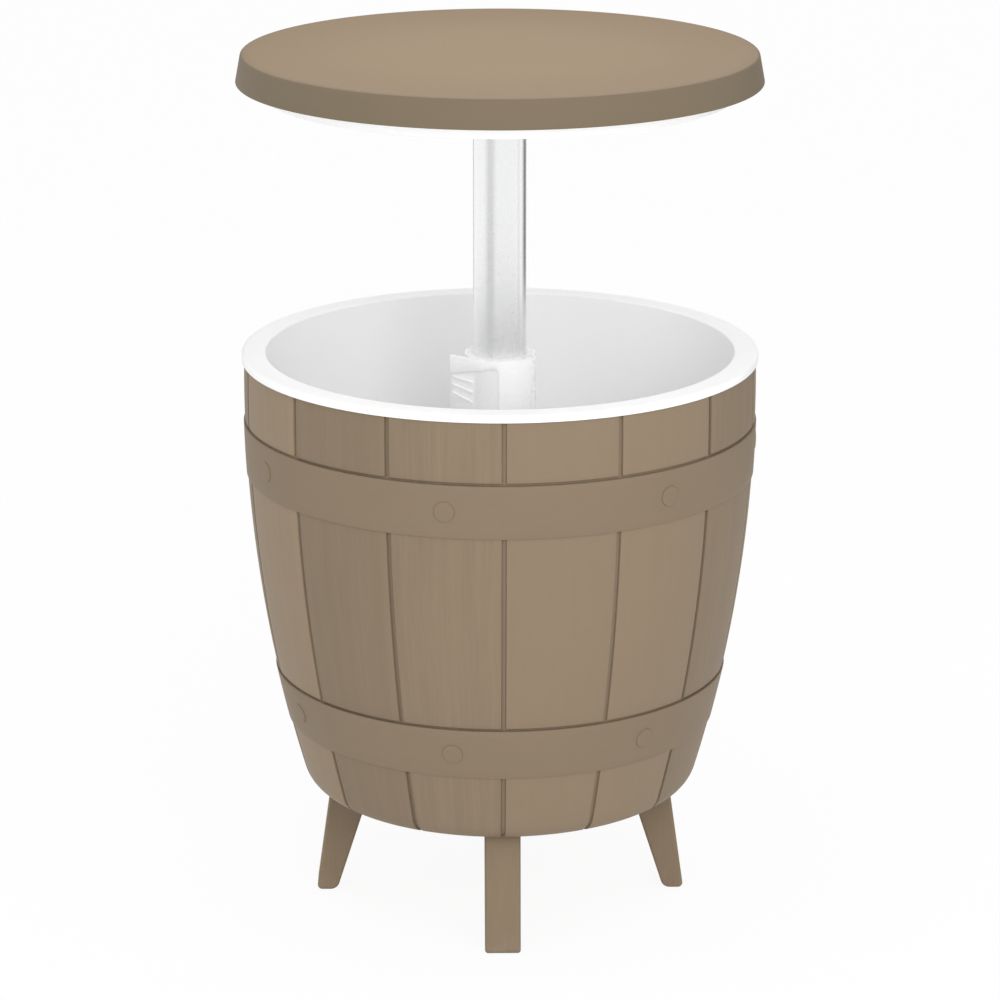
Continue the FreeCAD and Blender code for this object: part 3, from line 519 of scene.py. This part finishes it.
LINE_W, LINE_D = 2.6, 2.0                     # the line above each hoop, in millimetres
STEP_COLUMNS = 15                             # columns of faces across one stave and its line
LINE_LEAN = 0.42                              # how much narrower the floor of a line is on each side
BARREL_WALL = 4.5
RIM_ROUND = 0.5                               # of the hoops' edges and the lips of the lines
RIVET_H, RIVET_STEPS = 0.0030, 56             # height of a whole stud in metres, and faces round it
RIVET_SUNK, RIVET_ROUND = 0.6, 0.55           # its middle lies so far below the hoop's face
SHARP = math.radians(32.0)                    # edges sharper than this are rounded off


def bow_r(height, offset=0.0):
    """Radius of the staves' bow at a height, or of a bow that lies an offset outside it."""
    return BARREL_R - BOW_R + math.sqrt((BOW_R + offset) ** 2 - (height - BELLY_Z) ** 2)


def base_arc(offset=0.0, count=8):
    """The round at the barrel's base, from the bow to the flat underside."""
    centre_z = BASE_Z + BASE_ROUND
    centre_r = bow_r(centre_z, -BASE_ROUND)
    lean = math.degrees(math.atan2(centre_z - BELLY_Z, centre_r - (BARREL_R - BOW_R)))
    return arc_points((centre_r, centre_z), BASE_ROUND + offset, lean, -90.0, count)


def barrel_rows(sizes):
    """Rows of the barrel's outside from top to base.

    Each row holds two points (radius, height): one on a stave or hoop, and one on the floor of a line between
    staves.
    """
    deep = sizes.groove_depth / MM
    proud = sizes.hoop_proud / MM

    def stave(height):
        return (bow_r(height), height), (bow_r(height, -deep), height)

    def line(height, floor_depth):
        return (bow_r(height, -LINE_D), height), (bow_r(height, -floor_depth), height)

    def hoop(height):
        point = (bow_r(height, proud), height)
        return point, point

    def hoop_band(between, edges):
        """The line above a hoop, and the hoop with its points between its edges."""
        low, high = edges
        return ([line(high + LINE_W, deep), line(high, LINE_D)]
                + [hoop(z) for z in (high, *between, low)])

    low_hoop, high_hoop = HOOPS
    rows = [stave(z) for z in (546.0, 536.0, 524.0, 512.0, 500.0, 490.0, high_hoop[1] + LINE_W)]
    rows += hoop_band((474.0, 465.0, 457.0, 449.0, 440.0), high_hoop)
    rows += [stave(z) for z in (432.0, 421.0, 404.0, 386.0, 368.0, 350.0, 332.0, 314.0, 296.0, 278.0, 260.0,
                                low_hoop[1] + LINE_W)]
    rows += hoop_band((230.0, 221.0, 213.0, 205.0, 196.0), low_hoop)
    rows += [stave(z) for z in (188.0, 178.0, 167.0, 156.0, 146.0)]
    return rows + list(zip(base_arc(), base_arc(-deep)))


def shift_columns(mesh, rows, groove_w):
    """Set the columns beside each line between staves to a constant width, and push its floor in.

    A vertex knows its row by the mark it was spun with, and its column by its angle. The line has a column of
    faces on its floor, one on each side wall, and the stave's face takes the rest.
    """
    mark = mesh.verts.layers.int["row"]
    half = groove_w / 2 / MM
    for vertex in mesh.verts:
        row = vertex[mark] - 1
        if not 0 <= row < len(rows):
            continue
        radius, height = rows[row][0]
        angle = math.atan2(vertex.co.x, -vertex.co.y)
        line = round(angle / PITCH)
        column = round((angle - line * PITCH) / (PITCH / STEP_COLUMNS) * 2) / 2
        side = math.copysign(1.0, column)
        reach = abs(column)
        if reach < 1.0:
            radius, height = rows[row][1]
            across = half - LINE_LEAN
        elif reach < 2.0:
            across = half
        else:
            across = half + (reach - 1.5) / (STEP_COLUMNS / 2 - 1.5) * (PITCH / 2 * radius - half)
        angle = line * PITCH + side * across / radius
        vertex.co = Vector((radius * math.sin(angle), -radius * math.cos(angle), height)) * MM


class COOLER_OT_barrel(bpy.types.Operator):
    """Build the barrel: fourteen staves with lines between them, two hoops and their flat rivets"""
    bl_idname = "cooler.barrel"
    bl_label = "Barrel"

    def execute(self, context):
        sizes = context.scene.cooler_sizes
        rows = barrel_rows(sizes)
        mesh = self.raw_shell(rows)
        shift_columns(mesh, rows, sizes.groove_width)
        close_up(mesh)
        soften(mesh, self.rims(mesh, rows), RIM_ROUND)
        self.rivets(mesh, sizes)
        finish_piece(mesh, "barrel_staves", "barrel",
                     stave_finish(context.scene.cooler_colours, sizes.groove_width), ["barrel_shell"],
                     crease=38.0)
        return {"FINISHED"}

    def raw_shell(self, rows):
        """The barrel's closed wall before its lines are pressed in, with its rows marked on the vertices."""
        outline = [row[0] for row in rows]
        underside = [(150.0, BASE_Z), (115.0, BASE_Z), (0.0, BASE_Z)]
        wall = [(bow_r(z, -BARREL_WALL), z) for z in (546.0, 480.0, 400.0, 320.0, 240.0, 180.0)]
        inside = wall + base_arc(-BARREL_WALL, 3)[1:] + [(0.0, BASE_Z + BARREL_WALL)]
        mesh = bmesh.new()
        mark = mesh.verts.layers.int.new("row")
        chain = []
        for index, (radius, height) in enumerate(outline + underside + inside[::-1]):
            vertex = mesh.verts.new((radius * MM, 0.0, height * MM))
            vertex[mark] = index + 1
            chain.append(vertex)
        rails = [mesh.edges.new(pair) for pair in zip(chain, chain[1:] + chain[:1])
                 if pair[0].co.x > 0 or pair[1].co.x > 0]
        full_turn(mesh, chain + rails, STAVES * STEP_COLUMNS)
        return mesh

    def rims(self, mesh, rows):
        """Edges that the mould rounds: the lips of the lines between staves and the hoops' edges."""
        mark = mesh.verts.layers.int["row"]
        found = []
        for edge in mesh.edges:
            first, second = sorted(vertex[mark] - 1 for vertex in edge.verts)
            if not 0 <= first < len(rows) or second >= len(rows) or len(edge.link_faces) != 2:
                continue
            if edge.is_convex and edge.calc_face_angle(0.0) > SHARP:
                found.append(edge)
        return found

    def rivets(self, mesh, sizes):
        """Flat studs on every other stave of both hoops."""
        count = STAVES // 2
        for low, high in HOOPS:
            height = (low + high) / 2
            lean = math.asin((height - BELLY_Z) / BOW_R)
            radius = bow_r(height, sizes.hoop_proud / MM - RIVET_SUNK)
            for index in range(count):
                azimuth = index * 360.0 / count - 180.0 / STAVES - 90.0
                place = (Matrix.Rotation(math.radians(azimuth), 4, "Z")
                         @ Matrix.Translation((radius * MM, 0, height * MM))
                         @ Matrix.Rotation(math.pi / 2 - lean, 4, "Y"))
                stud = bmesh.ops.create_cone(mesh, cap_ends=True, cap_tris=False, segments=RIVET_STEPS,
                                             radius1=sizes.rivet_radius, radius2=sizes.rivet_radius,
                                             depth=RIVET_H, matrix=place)
                out = place.to_3x3() @ Vector((0, 0, 1))
                faces = dict.fromkeys(face for vertex in stud["verts"] for face in vertex.link_faces)
                cap = [face for face in faces if len(face.verts) > 4 and face.normal.dot(out) > 0.9]
                soften(mesh, [edge for face in cap for edge in face.edges], RIVET_ROUND, 3)


# Tub and lid

MOUTH_R = 223.38                              # inside of the tub's wall at the rim
LIP_OUTER_R, LIP_INNER_R = 246.38, 244.13     # the lip that hangs from the rim
TUB_DRAFT = 5.0                               # taper of the wall, in degrees
DRAFT = math.tan(math.radians(TUB_DRAFT))
FLOOR_Z = 168.0
SKIN = 3.0                                    # wall of tub and lid
FLOOR_ROUND = 25.0                            # between the tub's wall and its floor
DRAIN = Vector((0.0, 0.0950413, 0.0))         # in metres
DRAIN_HOLE_R, SPOUT_R = 9.0, 12.5
SPOUT_Z = BASE_Z - 5.3                        # lower end of the spout
ROUND_STEPS = 192                             # faces round the tub and the liner
LID_STEPS = 224
DRAIN_STEPS = 48


def tub_r(height):
    """Inside radius of the tapered tub wall."""
    return MOUTH_R - (RIM_Z - height) * DRAFT


def tub_corner(offset, count):
    """Round between the tub's wall and its floor."""
    centre_z = FLOOR_Z + FLOOR_ROUND
    centre_r = tub_r(centre_z) - FLOOR_ROUND / math.cos(math.radians(TUB_DRAFT))
    return arc_points((centre_r, centre_z), FLOOR_ROUND + offset, -TUB_DRAFT, -90.0, count)


def ring_at(mesh, centre, radius, height, segments):
    """Edges of a flat circle."""
    made = bmesh.ops.create_circle(mesh, cap_ends=False, radius=radius * MM, segments=segments,
                                   matrix=Matrix.Translation(Vector((centre.x, centre.y, height * MM))))
    return list(dict.fromkeys(edge for vertex in made["verts"] for edge in vertex.link_edges))


def edges_at(mesh, radius, height, centre=Vector((0.0, 0.0, 0.0))):
    """Edges that run round an upright axis at a radius and height."""
    def on(vertex):
        point = vertex.co - centre
        return (abs(point.z - height * MM) < AT_RING
                and abs(math.hypot(point.x, point.y) - radius * MM) < AT_RING)
    return [edge for edge in mesh.edges if on(edge.verts[0]) and on(edge.verts[1])]


class COOLER_OT_tub(bpy.types.Operator):
    """Build the white tub: rim with its hanging lip, tapered wall, floor and drain spout"""
    bl_idname = "cooler.tub"
    bl_label = "Tub"

    def execute(self, context):
        mesh = bmesh.new()
        inner, outer = tub_corner(0.0, 8), tub_corner(SKIN, 4)
        spun(mesh, self.outline(inner, outer), ROUND_STEPS)
        low = FLOOR_Z - SKIN
        for height, edge_r, hole_r in ((FLOOR_Z, inner[-1][0], DRAIN_HOLE_R), (low, outer[-1][0], SPOUT_R)):
            hole = ring_at(mesh, DRAIN, hole_r, height, DRAIN_STEPS)
            bmesh.ops.triangle_fill(mesh, use_beauty=True, use_dissolve=False,
                                    edges=edges_at(mesh, edge_r, height) + hole)
        for hole_r, height in ((DRAIN_HOLE_R, FLOOR_Z), (SPOUT_R, low)):
            spout = edges_at(mesh, hole_r, height, DRAIN)
            end = ring_at(mesh, DRAIN, hole_r, SPOUT_Z, DRAIN_STEPS)
            bmesh.ops.bridge_loops(mesh, edges=spout + end)
        bmesh.ops.bridge_loops(mesh, edges=[edge for edge in mesh.edges if edge.is_boundary])
        bmesh.ops.recalc_face_normals(mesh, faces=mesh.faces[:])
        finish_piece(mesh, "white_tub", "barrel", tub_finish(context.scene.cooler_colours),
                     ["tub_liner"], crease=30.0)
        return {"FINISHED"}

    def outline(self, inner, outer):
        """The wall's section from the floor's edge inside, up over the rim and the lip, and down outside."""
        across = SKIN / math.cos(math.radians(TUB_DRAFT))
        wall_top, rim_low = RIM_Z - 1.2, RIM_Z - SKIN
        lip_low = RIM_Z - 7.0
        points = inner[::-1]
        points += [(tub_r(z), z) for z in (280.0, 400.0, wall_top)]
        points += arc_points((MOUTH_R + 1.4, RIM_Z - 1.4), 1.4, 165.0, 90.0, 4)
        points += [(MOUTH_R + 6.0, RIM_Z), (LIP_OUTER_R - 6.0, RIM_Z)]
        points += arc_points((LIP_OUTER_R - 2.2, RIM_Z - 2.2), 2.2, 90.0, 0.0, 6)
        points += [(LIP_OUTER_R, RIM_Z - 6.4)]
        points += arc_points((LIP_OUTER_R - 0.6, RIM_Z - 6.4), 0.6, 0.0, -90.0, 3)[1:]
        points += [(LIP_INNER_R, lip_low), (LIP_INNER_R, rim_low)]
        points += [(tub_r(z) + across, z) for z in (rim_low, 300.0)]
        return points + outer


LID_TAPER = 4.4                               # how much narrower the skirt is at the top
LID_BEND = 2.6                                # round of the crease between top and skirt
LAND_W = 6.0                                  # flat ring inside the crease
DISH_SLOPE_W, DISH_DEPTH = 95.0, 3.0
DISH_STEPS = 12
LIP_ROUND = 0.7


class COOLER_OT_lid(bpy.types.Operator):
    """Build the table top: a shallow dish, a rounded crease and a flared skirt"""
    bl_idname = "cooler.lid"
    bl_label = "Table top"

    def execute(self, context):
        lean = math.degrees(math.atan2(LID_TAPER, LID_TOP - LID_LOW))
        crease_r = LID_R - LID_TAPER
        land_r = crease_r - LAND_W
        flat_r = land_r - DISH_SLOPE_W
        dish_z = LID_TOP - DISH_DEPTH
        points = [(0.0, dish_z), (40.0, dish_z), (90.0, dish_z), (flat_r, dish_z)]
        for index in range(1, DISH_STEPS):
            share = index / DISH_STEPS
            rise = share * share * (0.64 + 0.36 * share)
            points.append((flat_r + (land_r - flat_r) * share, dish_z + DISH_DEPTH * rise))
        points.append((land_r, LID_TOP))
        crease = (crease_r - LID_BEND * math.tan(math.pi / 4), LID_TOP - LID_BEND)
        points += arc_points(crease, LID_BEND, 90.0, lean, 6)
        points += arc_points((LID_R - LIP_ROUND, LID_LOW + LIP_ROUND), LIP_ROUND, lean, -90.0, 3)
        points += [(LID_R - SKIN, LID_LOW), (LID_R - SKIN - LID_TAPER * 0.8, LID_TOP - SKIN - 1.2),
                   (land_r, LID_TOP - SKIN), (flat_r, dish_z - SKIN), (0.0, dish_z - SKIN)]
        mesh = bmesh.new()
        spun(mesh, points, LID_STEPS)
        finish_piece(mesh, "lid_table_top", "table_top",
                     lid_finish(context.scene.cooler_colours), ["lid_top"])
        return {"FINISHED"}


PLUG_GAP = 1.6                                # between the liner's plug ring and the tub's mouth
PLUG_H = 13.2
PLUG_W = 14.0
PLATE_H = 2.8                                 # underside of the plate above the lid's lower edge
LINER_SKIN = 2.5
HUB_HOLE_R, HUB_PAD_R = 26.0, 62.0


class COOLER_OT_lid_liner(bpy.types.Operator):
    """Build the white liner under the lid: plate, hub pad, plug ring and outer flange"""
    bl_idname = "cooler.lid_liner"
    bl_label = "Lid liner"

    def execute(self, context):
        ring_r, ring_low = MOUTH_R - PLUG_GAP, LID_LOW - PLUG_H
        ring_low_r = ring_r - PLUG_H * DRAFT
        wall_in = ring_r - PLUG_W
        low_in = wall_in + PLUG_H * DRAFT
        plate = LID_LOW + PLATE_H
        edge_r = LID_R - SKIN - 0.5 - LINER_SKIN * LID_TAPER / (LID_TOP - LID_LOW)
        flange = LID_LOW + 0.2                # a hair above the rim when the lid is shut
        under = [(HUB_HOLE_R, plate - 5.0), (HUB_PAD_R, plate - 5.0), (HUB_PAD_R, plate), (120.0, plate),
                 (wall_in, plate), (low_in, ring_low), (ring_low_r, ring_low), (ring_r, flange),
                 (edge_r, flange)]
        over = [(edge_r, LID_LOW + LINER_SKIN), (ring_r - LINER_SKIN, LID_LOW + LINER_SKIN),
                (ring_low_r - LINER_SKIN, ring_low + LINER_SKIN),
                (low_in + LINER_SKIN, ring_low + LINER_SKIN),
                (wall_in + LINER_SKIN, plate + LINER_SKIN), (HUB_HOLE_R, plate + LINER_SKIN)]
        mesh = bmesh.new()
        spun(mesh, under + over, ROUND_STEPS, closed=True)
        sharp = [edge for edge in mesh.edges if edge.calc_face_angle(0.0) > math.radians(30)
                 and max(vertex.co.z for vertex in edge.verts) < (plate + 0.5) * MM]    # seen from below
        soften(mesh, sharp, 0.9, 3)
        finish_piece(mesh, "lid_plug_liner", "table_top",
                     tub_finish(context.scene.cooler_colours), ["lid_liner"])
        return {"FINISHED"}


# Clamp and legs

def softened_copy(node, width, crown_r=None):
    """A merged copy of a CAD node's mesh with its sharp edges rounded off.

    Where the node is the collar, crown_r is its radius, and its upper edge gets a wider round.
    """
    mesh = bmesh.new()
    mesh.from_mesh(frame["nodes"][node].data)
    bmesh.ops.remove_doubles(mesh, verts=mesh.verts[:], dist=2e-6)
    bmesh.ops.dissolve_limit(mesh, angle_limit=math.radians(0.6), use_dissolve_boundaries=False,
                             verts=mesh.verts[:], edges=mesh.edges[:])
    if crown_r:
        soften(mesh, edges_at(mesh, crown_r, CLAMP_TOP), 1.1, 4)
    sharp = [edge for edge in mesh.edges if len(edge.link_faces) == 2 and edge.calc_face_angle(0.0) > SHARP]
    soften(mesh, sharp, width)
    return mesh


class COOLER_OT_clamp(bpy.types.Operator):
    """Build the clamp: collar and cam lever with softly rounded, glossy edges"""
    bl_idname = "cooler.clamp"
    bl_label = "Clamp"

    def execute(self, context):
        glossy = clamp_finish(context.scene.cooler_colours)
        collar = softened_copy("clamp_collar", 0.3, COLLAR_R)
        finish_piece(collar, "clamp_ring", "barrel", glossy, ["clamp_collar"])
        lever = softened_copy("clamp_lever", 0.45)
        finish_piece(lever, "cam_lever", "clamp_lever", glossy, ["clamp_lever"])
        return {"FINISHED"}


class COOLER_OT_legs(bpy.types.Operator):
    """Build the four splayed legs with soft edges and a foot that stands flat"""
    bl_idname = "cooler.legs"
    bl_label = "Legs"

    def execute(self, context):
        finish = leg_finish(context.scene.cooler_colours)
        for side in ("front", "right", "back", "left"):
            node = "leg_" + side
            finish_piece(softened_copy(node, 0.6), side + "_leg", "barrel", finish, [node])
        return {"FINISHED"}


class COOLER_OT_small_parts(bpy.types.Operator):
    """Give every carried-over CAD node the finish of its real counterpart"""
    bl_idname = "cooler.small_parts"
    bl_label = "Small parts"

    def execute(self, context):
        colours = context.scene.cooler_colours
        finishes = {
            "barrel_plastic": leg_finish(colours),
            "white_plastic": tub_finish(colours),
            "bearing_plastic": bearing_finish(colours),
            "pole_aluminium": tube_finish(colours),
            "screw_steel": steel_finish(colours),
            "pad_rubber": rubber_finish(colours),
        }
        for row in frame["record"]["subparts"]:
            dress(row["node"], finishes[row["material_slot"]])
        return {"FINISHED"}


# Stage

LAMPS = (                                     # name, place, width of the disk and power in watts
    ("front_lamp", (0.6, -2.6, 1.9), 1.6, 25.5),
    ("left_lamp", (-1.3, -2.4, 0.9), 1.4, 3.5),
    ("top_lamp", (-0.4, -0.5, 2.9), 2.0, 4.5),
)
LAMP_AIM = Vector((0.0, 0.0, 0.45))
CARDS = (                                     # name, azimuth from the front, half its width, darkness
    ("left_flag", -43.0, 30.0, 0.30),
    ("right_flag", 131.0, 27.0, 0.8),
    ("back_flag", -158.0, 13.0, 0.5),
    ("side_flag", 86.0, 7.0, 0.18),
)
CARD_R, CARD_H = 1.5, 1.6
SKY_BEHIND, SKY_AHEAD = 0.66, 0.98            # strength of the soft light on the pieces
FLOOR_SIZE = 14.0
FLOOR_WHITE = 0.92                            # how far the camera sees plain white instead of the lit floor
CAMERA_AWAY, CAMERA_Z = 3.594, 1.4706
CAMERA_SWING, CAMERA_TILT = -0.9, 16.63       # to the left and down, in degrees
CAMERA_LENS, CAMERA_SENSOR = 139.76, 36.0
CAMERA_FAR = 60.0


def set_up(name, data):
    """Put an object of the stage into the scene."""
    made = bpy.data.objects.new(name, data)
    bpy.context.scene.collection.objects.link(made)
    return made


class COOLER_OT_stage(bpy.types.Operator):
    """Set the pale floor, the soft lamps and the camera"""
    bl_idname = "cooler.stage"
    bl_label = "Stage"

    def execute(self, context):
        self.floor(context.scene.cooler_colours)
        self.world(context.scene)
        for card in CARDS:
            self.card(*card)
        for lamp in LAMPS:
            self.lamp(*lamp)
        self.camera(context.scene)
        context.scene.view_settings.view_transform = "Standard"
        return {"FINISHED"}

    def floor(self, colours):
        mesh = bmesh.new()
        bmesh.ops.create_grid(mesh, x_segments=2, y_segments=2, size=FLOOR_SIZE)
        data = bpy.data.meshes.new("floor")
        mesh.to_mesh(data)
        mesh.free()
        data.materials.append(self.floor_finish(colours))
        set_up("floor", data)

    def floor_finish(self, colours):
        """White to the camera but for the table's shadow, and a pale grey that throws light back."""
        sheet = finish_sheet("pale_floor")
        grey = sheet.noise(sheet.place(), 3.0, 3.0, 0.5) - 0.5
        seen = sheet.seen()
        colour = sheet.shade(sheet.blend(colours.floor, (1.0, 1.0, 1.0), seen), 1.0 + grey * 0.01)
        lit = sheet.node("ShaderNodeBsdfPrincipled", None,
                         {"Base Color": colour, "Roughness": 0.9, "Specular IOR Level": 0.0})
        glow = sheet.node("ShaderNodeEmission", None, {"Color": (1.0, 1.0, 1.0), "Strength": 1.0})
        share = seen * FLOOR_WHITE
        return sheet.finish(sheet.node("ShaderNodeMixShader", None, {0: share, 1: lit, 2: glow}))

    def card(self, name, azimuth, half_w, dark):
        """A dark card with soft edges, bent round the table, that only reflections in the pieces show."""
        azimuth, half_w = math.radians(azimuth), math.radians(half_w)
        mesh = bmesh.new()
        start = Vector((math.sin(azimuth - half_w), -math.cos(azimuth - half_w), 0.0)) * CARD_R
        foot = mesh.verts.new(start)
        top = mesh.verts.new(start + Vector((0.0, 0.0, CARD_H)))
        bmesh.ops.spin(mesh, geom=[foot, top, mesh.edges.new((foot, top))], cent=(0, 0, 0), axis=(0, 0, 1),
                       angle=half_w * 2, steps=16, use_merge=False, use_duplicate=False)
        data = bpy.data.meshes.new(name)
        mesh.to_mesh(data)
        mesh.free()
        data.materials.append(self.card_finish(name + "_card", azimuth, half_w, dark))
        card = set_up(name, data)
        for ray in ("camera", "diffuse", "transmission", "volume_scatter", "shadow"):
            setattr(card, "visible_" + ray, False)

    def card_finish(self, name, azimuth, half_w, dark):
        """Black in the card's middle and clear towards its sides."""
        sheet = finish_sheet(name)
        angle, _, _ = sheet.round_axis(sheet.place())
        shade = (1.0 - abs(angle - azimuth).rise(half_w * 0.15, half_w * 0.98)) * dark
        clear = sheet.node("ShaderNodeBsdfTransparent")
        black = sheet.node("ShaderNodeEmission", None, {"Color": (0.0, 0.0, 0.0), "Strength": 0.0})
        return sheet.finish(sheet.node("ShaderNodeMixShader", None, {0: shade, 1: clear, 2: black}))

    def world(self, scene):
        """White where the camera sees it; on the pieces, a soft light that is strongest from the front."""
        scene.world = bpy.data.worlds.new("studio")
        sheet = Sheet(scene.world, "ShaderNodeOutputWorld")
        away = sheet.split(sheet.place("Generated"))[1]     # from -1 in front to 1 behind
        behind, ahead, white = [sheet.node("ShaderNodeBackground", None,
                                           {"Color": (1.0, 1.0, 1.0), "Strength": level})
                                for level in (SKY_BEHIND, SKY_AHEAD, 1.0)]
        soft = sheet.node("ShaderNodeMixShader", None, {0: 0.5 - away * 0.5, 1: behind, 2: ahead})
        sheet.finish(sheet.node("ShaderNodeMixShader", None, {0: sheet.seen(), 1: soft, 2: white}))

    def lamp(self, name, place, width, power):
        """A soft disk that lights the table and that reflections don't show."""
        light = bpy.data.lights.new(name, "AREA")
        light.shape = "DISK"
        light.size = width
        light.energy = power
        lamp = set_up(name, light)
        lamp.location = place
        lamp.visible_glossy = lamp.visible_camera = False
        lamp.rotation_euler = (LAMP_AIM - Vector(place)).to_track_quat("-Z", "Y").to_euler()

    def camera(self, scene):
        data = bpy.data.cameras.new("camera")
        data.sensor_width = CAMERA_SENSOR
        data.lens = CAMERA_LENS
        data.clip_end = CAMERA_FAR
        camera = set_up("camera", data)
        swing = math.radians(CAMERA_SWING)
        camera.location = (CAMERA_AWAY * math.sin(swing), -CAMERA_AWAY * math.cos(swing), CAMERA_Z)
        camera.rotation_euler = (math.radians(90.0 - CAMERA_TILT), 0.0, swing)
        scene.camera = camera


# What a user may change

def length_property(name, description, default):
    return bpy.props.FloatProperty(name=name, description=description, default=default, unit="LENGTH")


class CoolerSizes(bpy.types.PropertyGroup):
    """Sizes that a user may change"""
    groove_width: length_property("Line width", "Width of the lines between staves", 0.0045)
    groove_depth: length_property("Line depth", "Depth of the lines between staves", 0.0024)
    hoop_proud: length_property("Hoop height", "How far the hoops stand proud of the staves", 0.0012)
    rivet_radius: length_property("Rivet radius", "Radius of the flat rivets on the hoops", 0.0095)


def colour_property(name, description, default):
    return bpy.props.FloatVectorProperty(name=name, description=description, default=default, subtype="COLOR",
                                         size=3, min=0.0, max=1.0)


class CoolerColours(bpy.types.PropertyGroup):
    """Colours of the finishes, linear"""
    # Painted light: the table top's colour is the taupe made lighter for its upward face.
    top: colour_property("Table top", "Upper face of the lid", (0.326, 0.224, 0.124))
    # Painted shade: the skirt's colour is the same plastic made darker as shade.
    skirt: colour_property("Skirt", "Rim that hangs from the table top", (0.178, 0.138, 0.088))
    stave: colour_property("Staves", "Barrel and legs", (0.235, 0.175, 0.115))
    stave_light: colour_property("Light grain", "Lighter grain of the staves", (0.268, 0.204, 0.138))
    # Painted shade: this colour darkens the lines between staves and above the hoops.
    painted_line_shade: colour_property("Grime", "Dirt in the lines between staves", (0.172, 0.132, 0.090))
    dust: colour_property("Dust", "Dust on feet and rubber", (0.46, 0.42, 0.36))
    tub_white: colour_property("Tub white", "Tub and underside of the lid", (0.970, 0.974, 0.970))
    stain: colour_property("Water stain", "Dried water in the tub", (0.66, 0.64, 0.58))
    clamp_white: colour_property("Clamp white", "Collar and lever", (0.975, 0.978, 0.978))
    bearing_white: colour_property("Bearing white", "Hub, bush, glide and cap", (0.88, 0.89, 0.885))
    aluminium: colour_property("Aluminium", "Tube", (0.955, 0.957, 0.96))
    zinc: colour_property("Zinc", "Screws and pin", (0.60, 0.61, 0.62))
    rubber: colour_property("Rubber", "Brake pad and drain seal", (0.035, 0.035, 0.036))
    floor: colour_property("Floor", "Light that the studio floor throws back", (0.96, 0.96, 0.96))


# The sidebar and the run

STEPS = (COOLER_OT_small_parts, COOLER_OT_barrel, COOLER_OT_tub, COOLER_OT_lid, COOLER_OT_lid_liner,
         COOLER_OT_clamp, COOLER_OT_legs, COOLER_OT_stage)


class COOLER_PT_panel(bpy.types.Panel):
    """Sidebar panel with the pieces, their sizes and colours"""
    bl_idname = "COOLER_PT_panel"
    bl_label = "Cooler table"
    bl_space_type = "VIEW_3D"
    bl_region_type = "UI"
    bl_category = "Cooler table"

    def draw(self, context):
        layout = self.layout
        for step in STEPS:
            layout.operator(step.bl_idname)
        for group in (context.scene.cooler_sizes, context.scene.cooler_colours):
            for name in group.__annotations__:
                layout.prop(group, name)


CLASSES = (CoolerSizes, CoolerColours, COOLER_PT_panel) + STEPS


def register():
    for kind in CLASSES:
        bpy.utils.register_class(kind)
    bpy.types.Scene.cooler_sizes = bpy.props.PointerProperty(type=CoolerSizes)
    bpy.types.Scene.cooler_colours = bpy.props.PointerProperty(type=CoolerColours)


def unregister():
    del bpy.types.Scene.cooler_sizes
    del bpy.types.Scene.cooler_colours
    for kind in reversed(CLASSES):
        bpy.utils.unregister_class(kind)


def main():
    register()
    for step in STEPS:
        family, name = step.bl_idname.split(".")
        getattr(getattr(bpy.ops, family), name)()


if __name__ == "__main__":
    main()
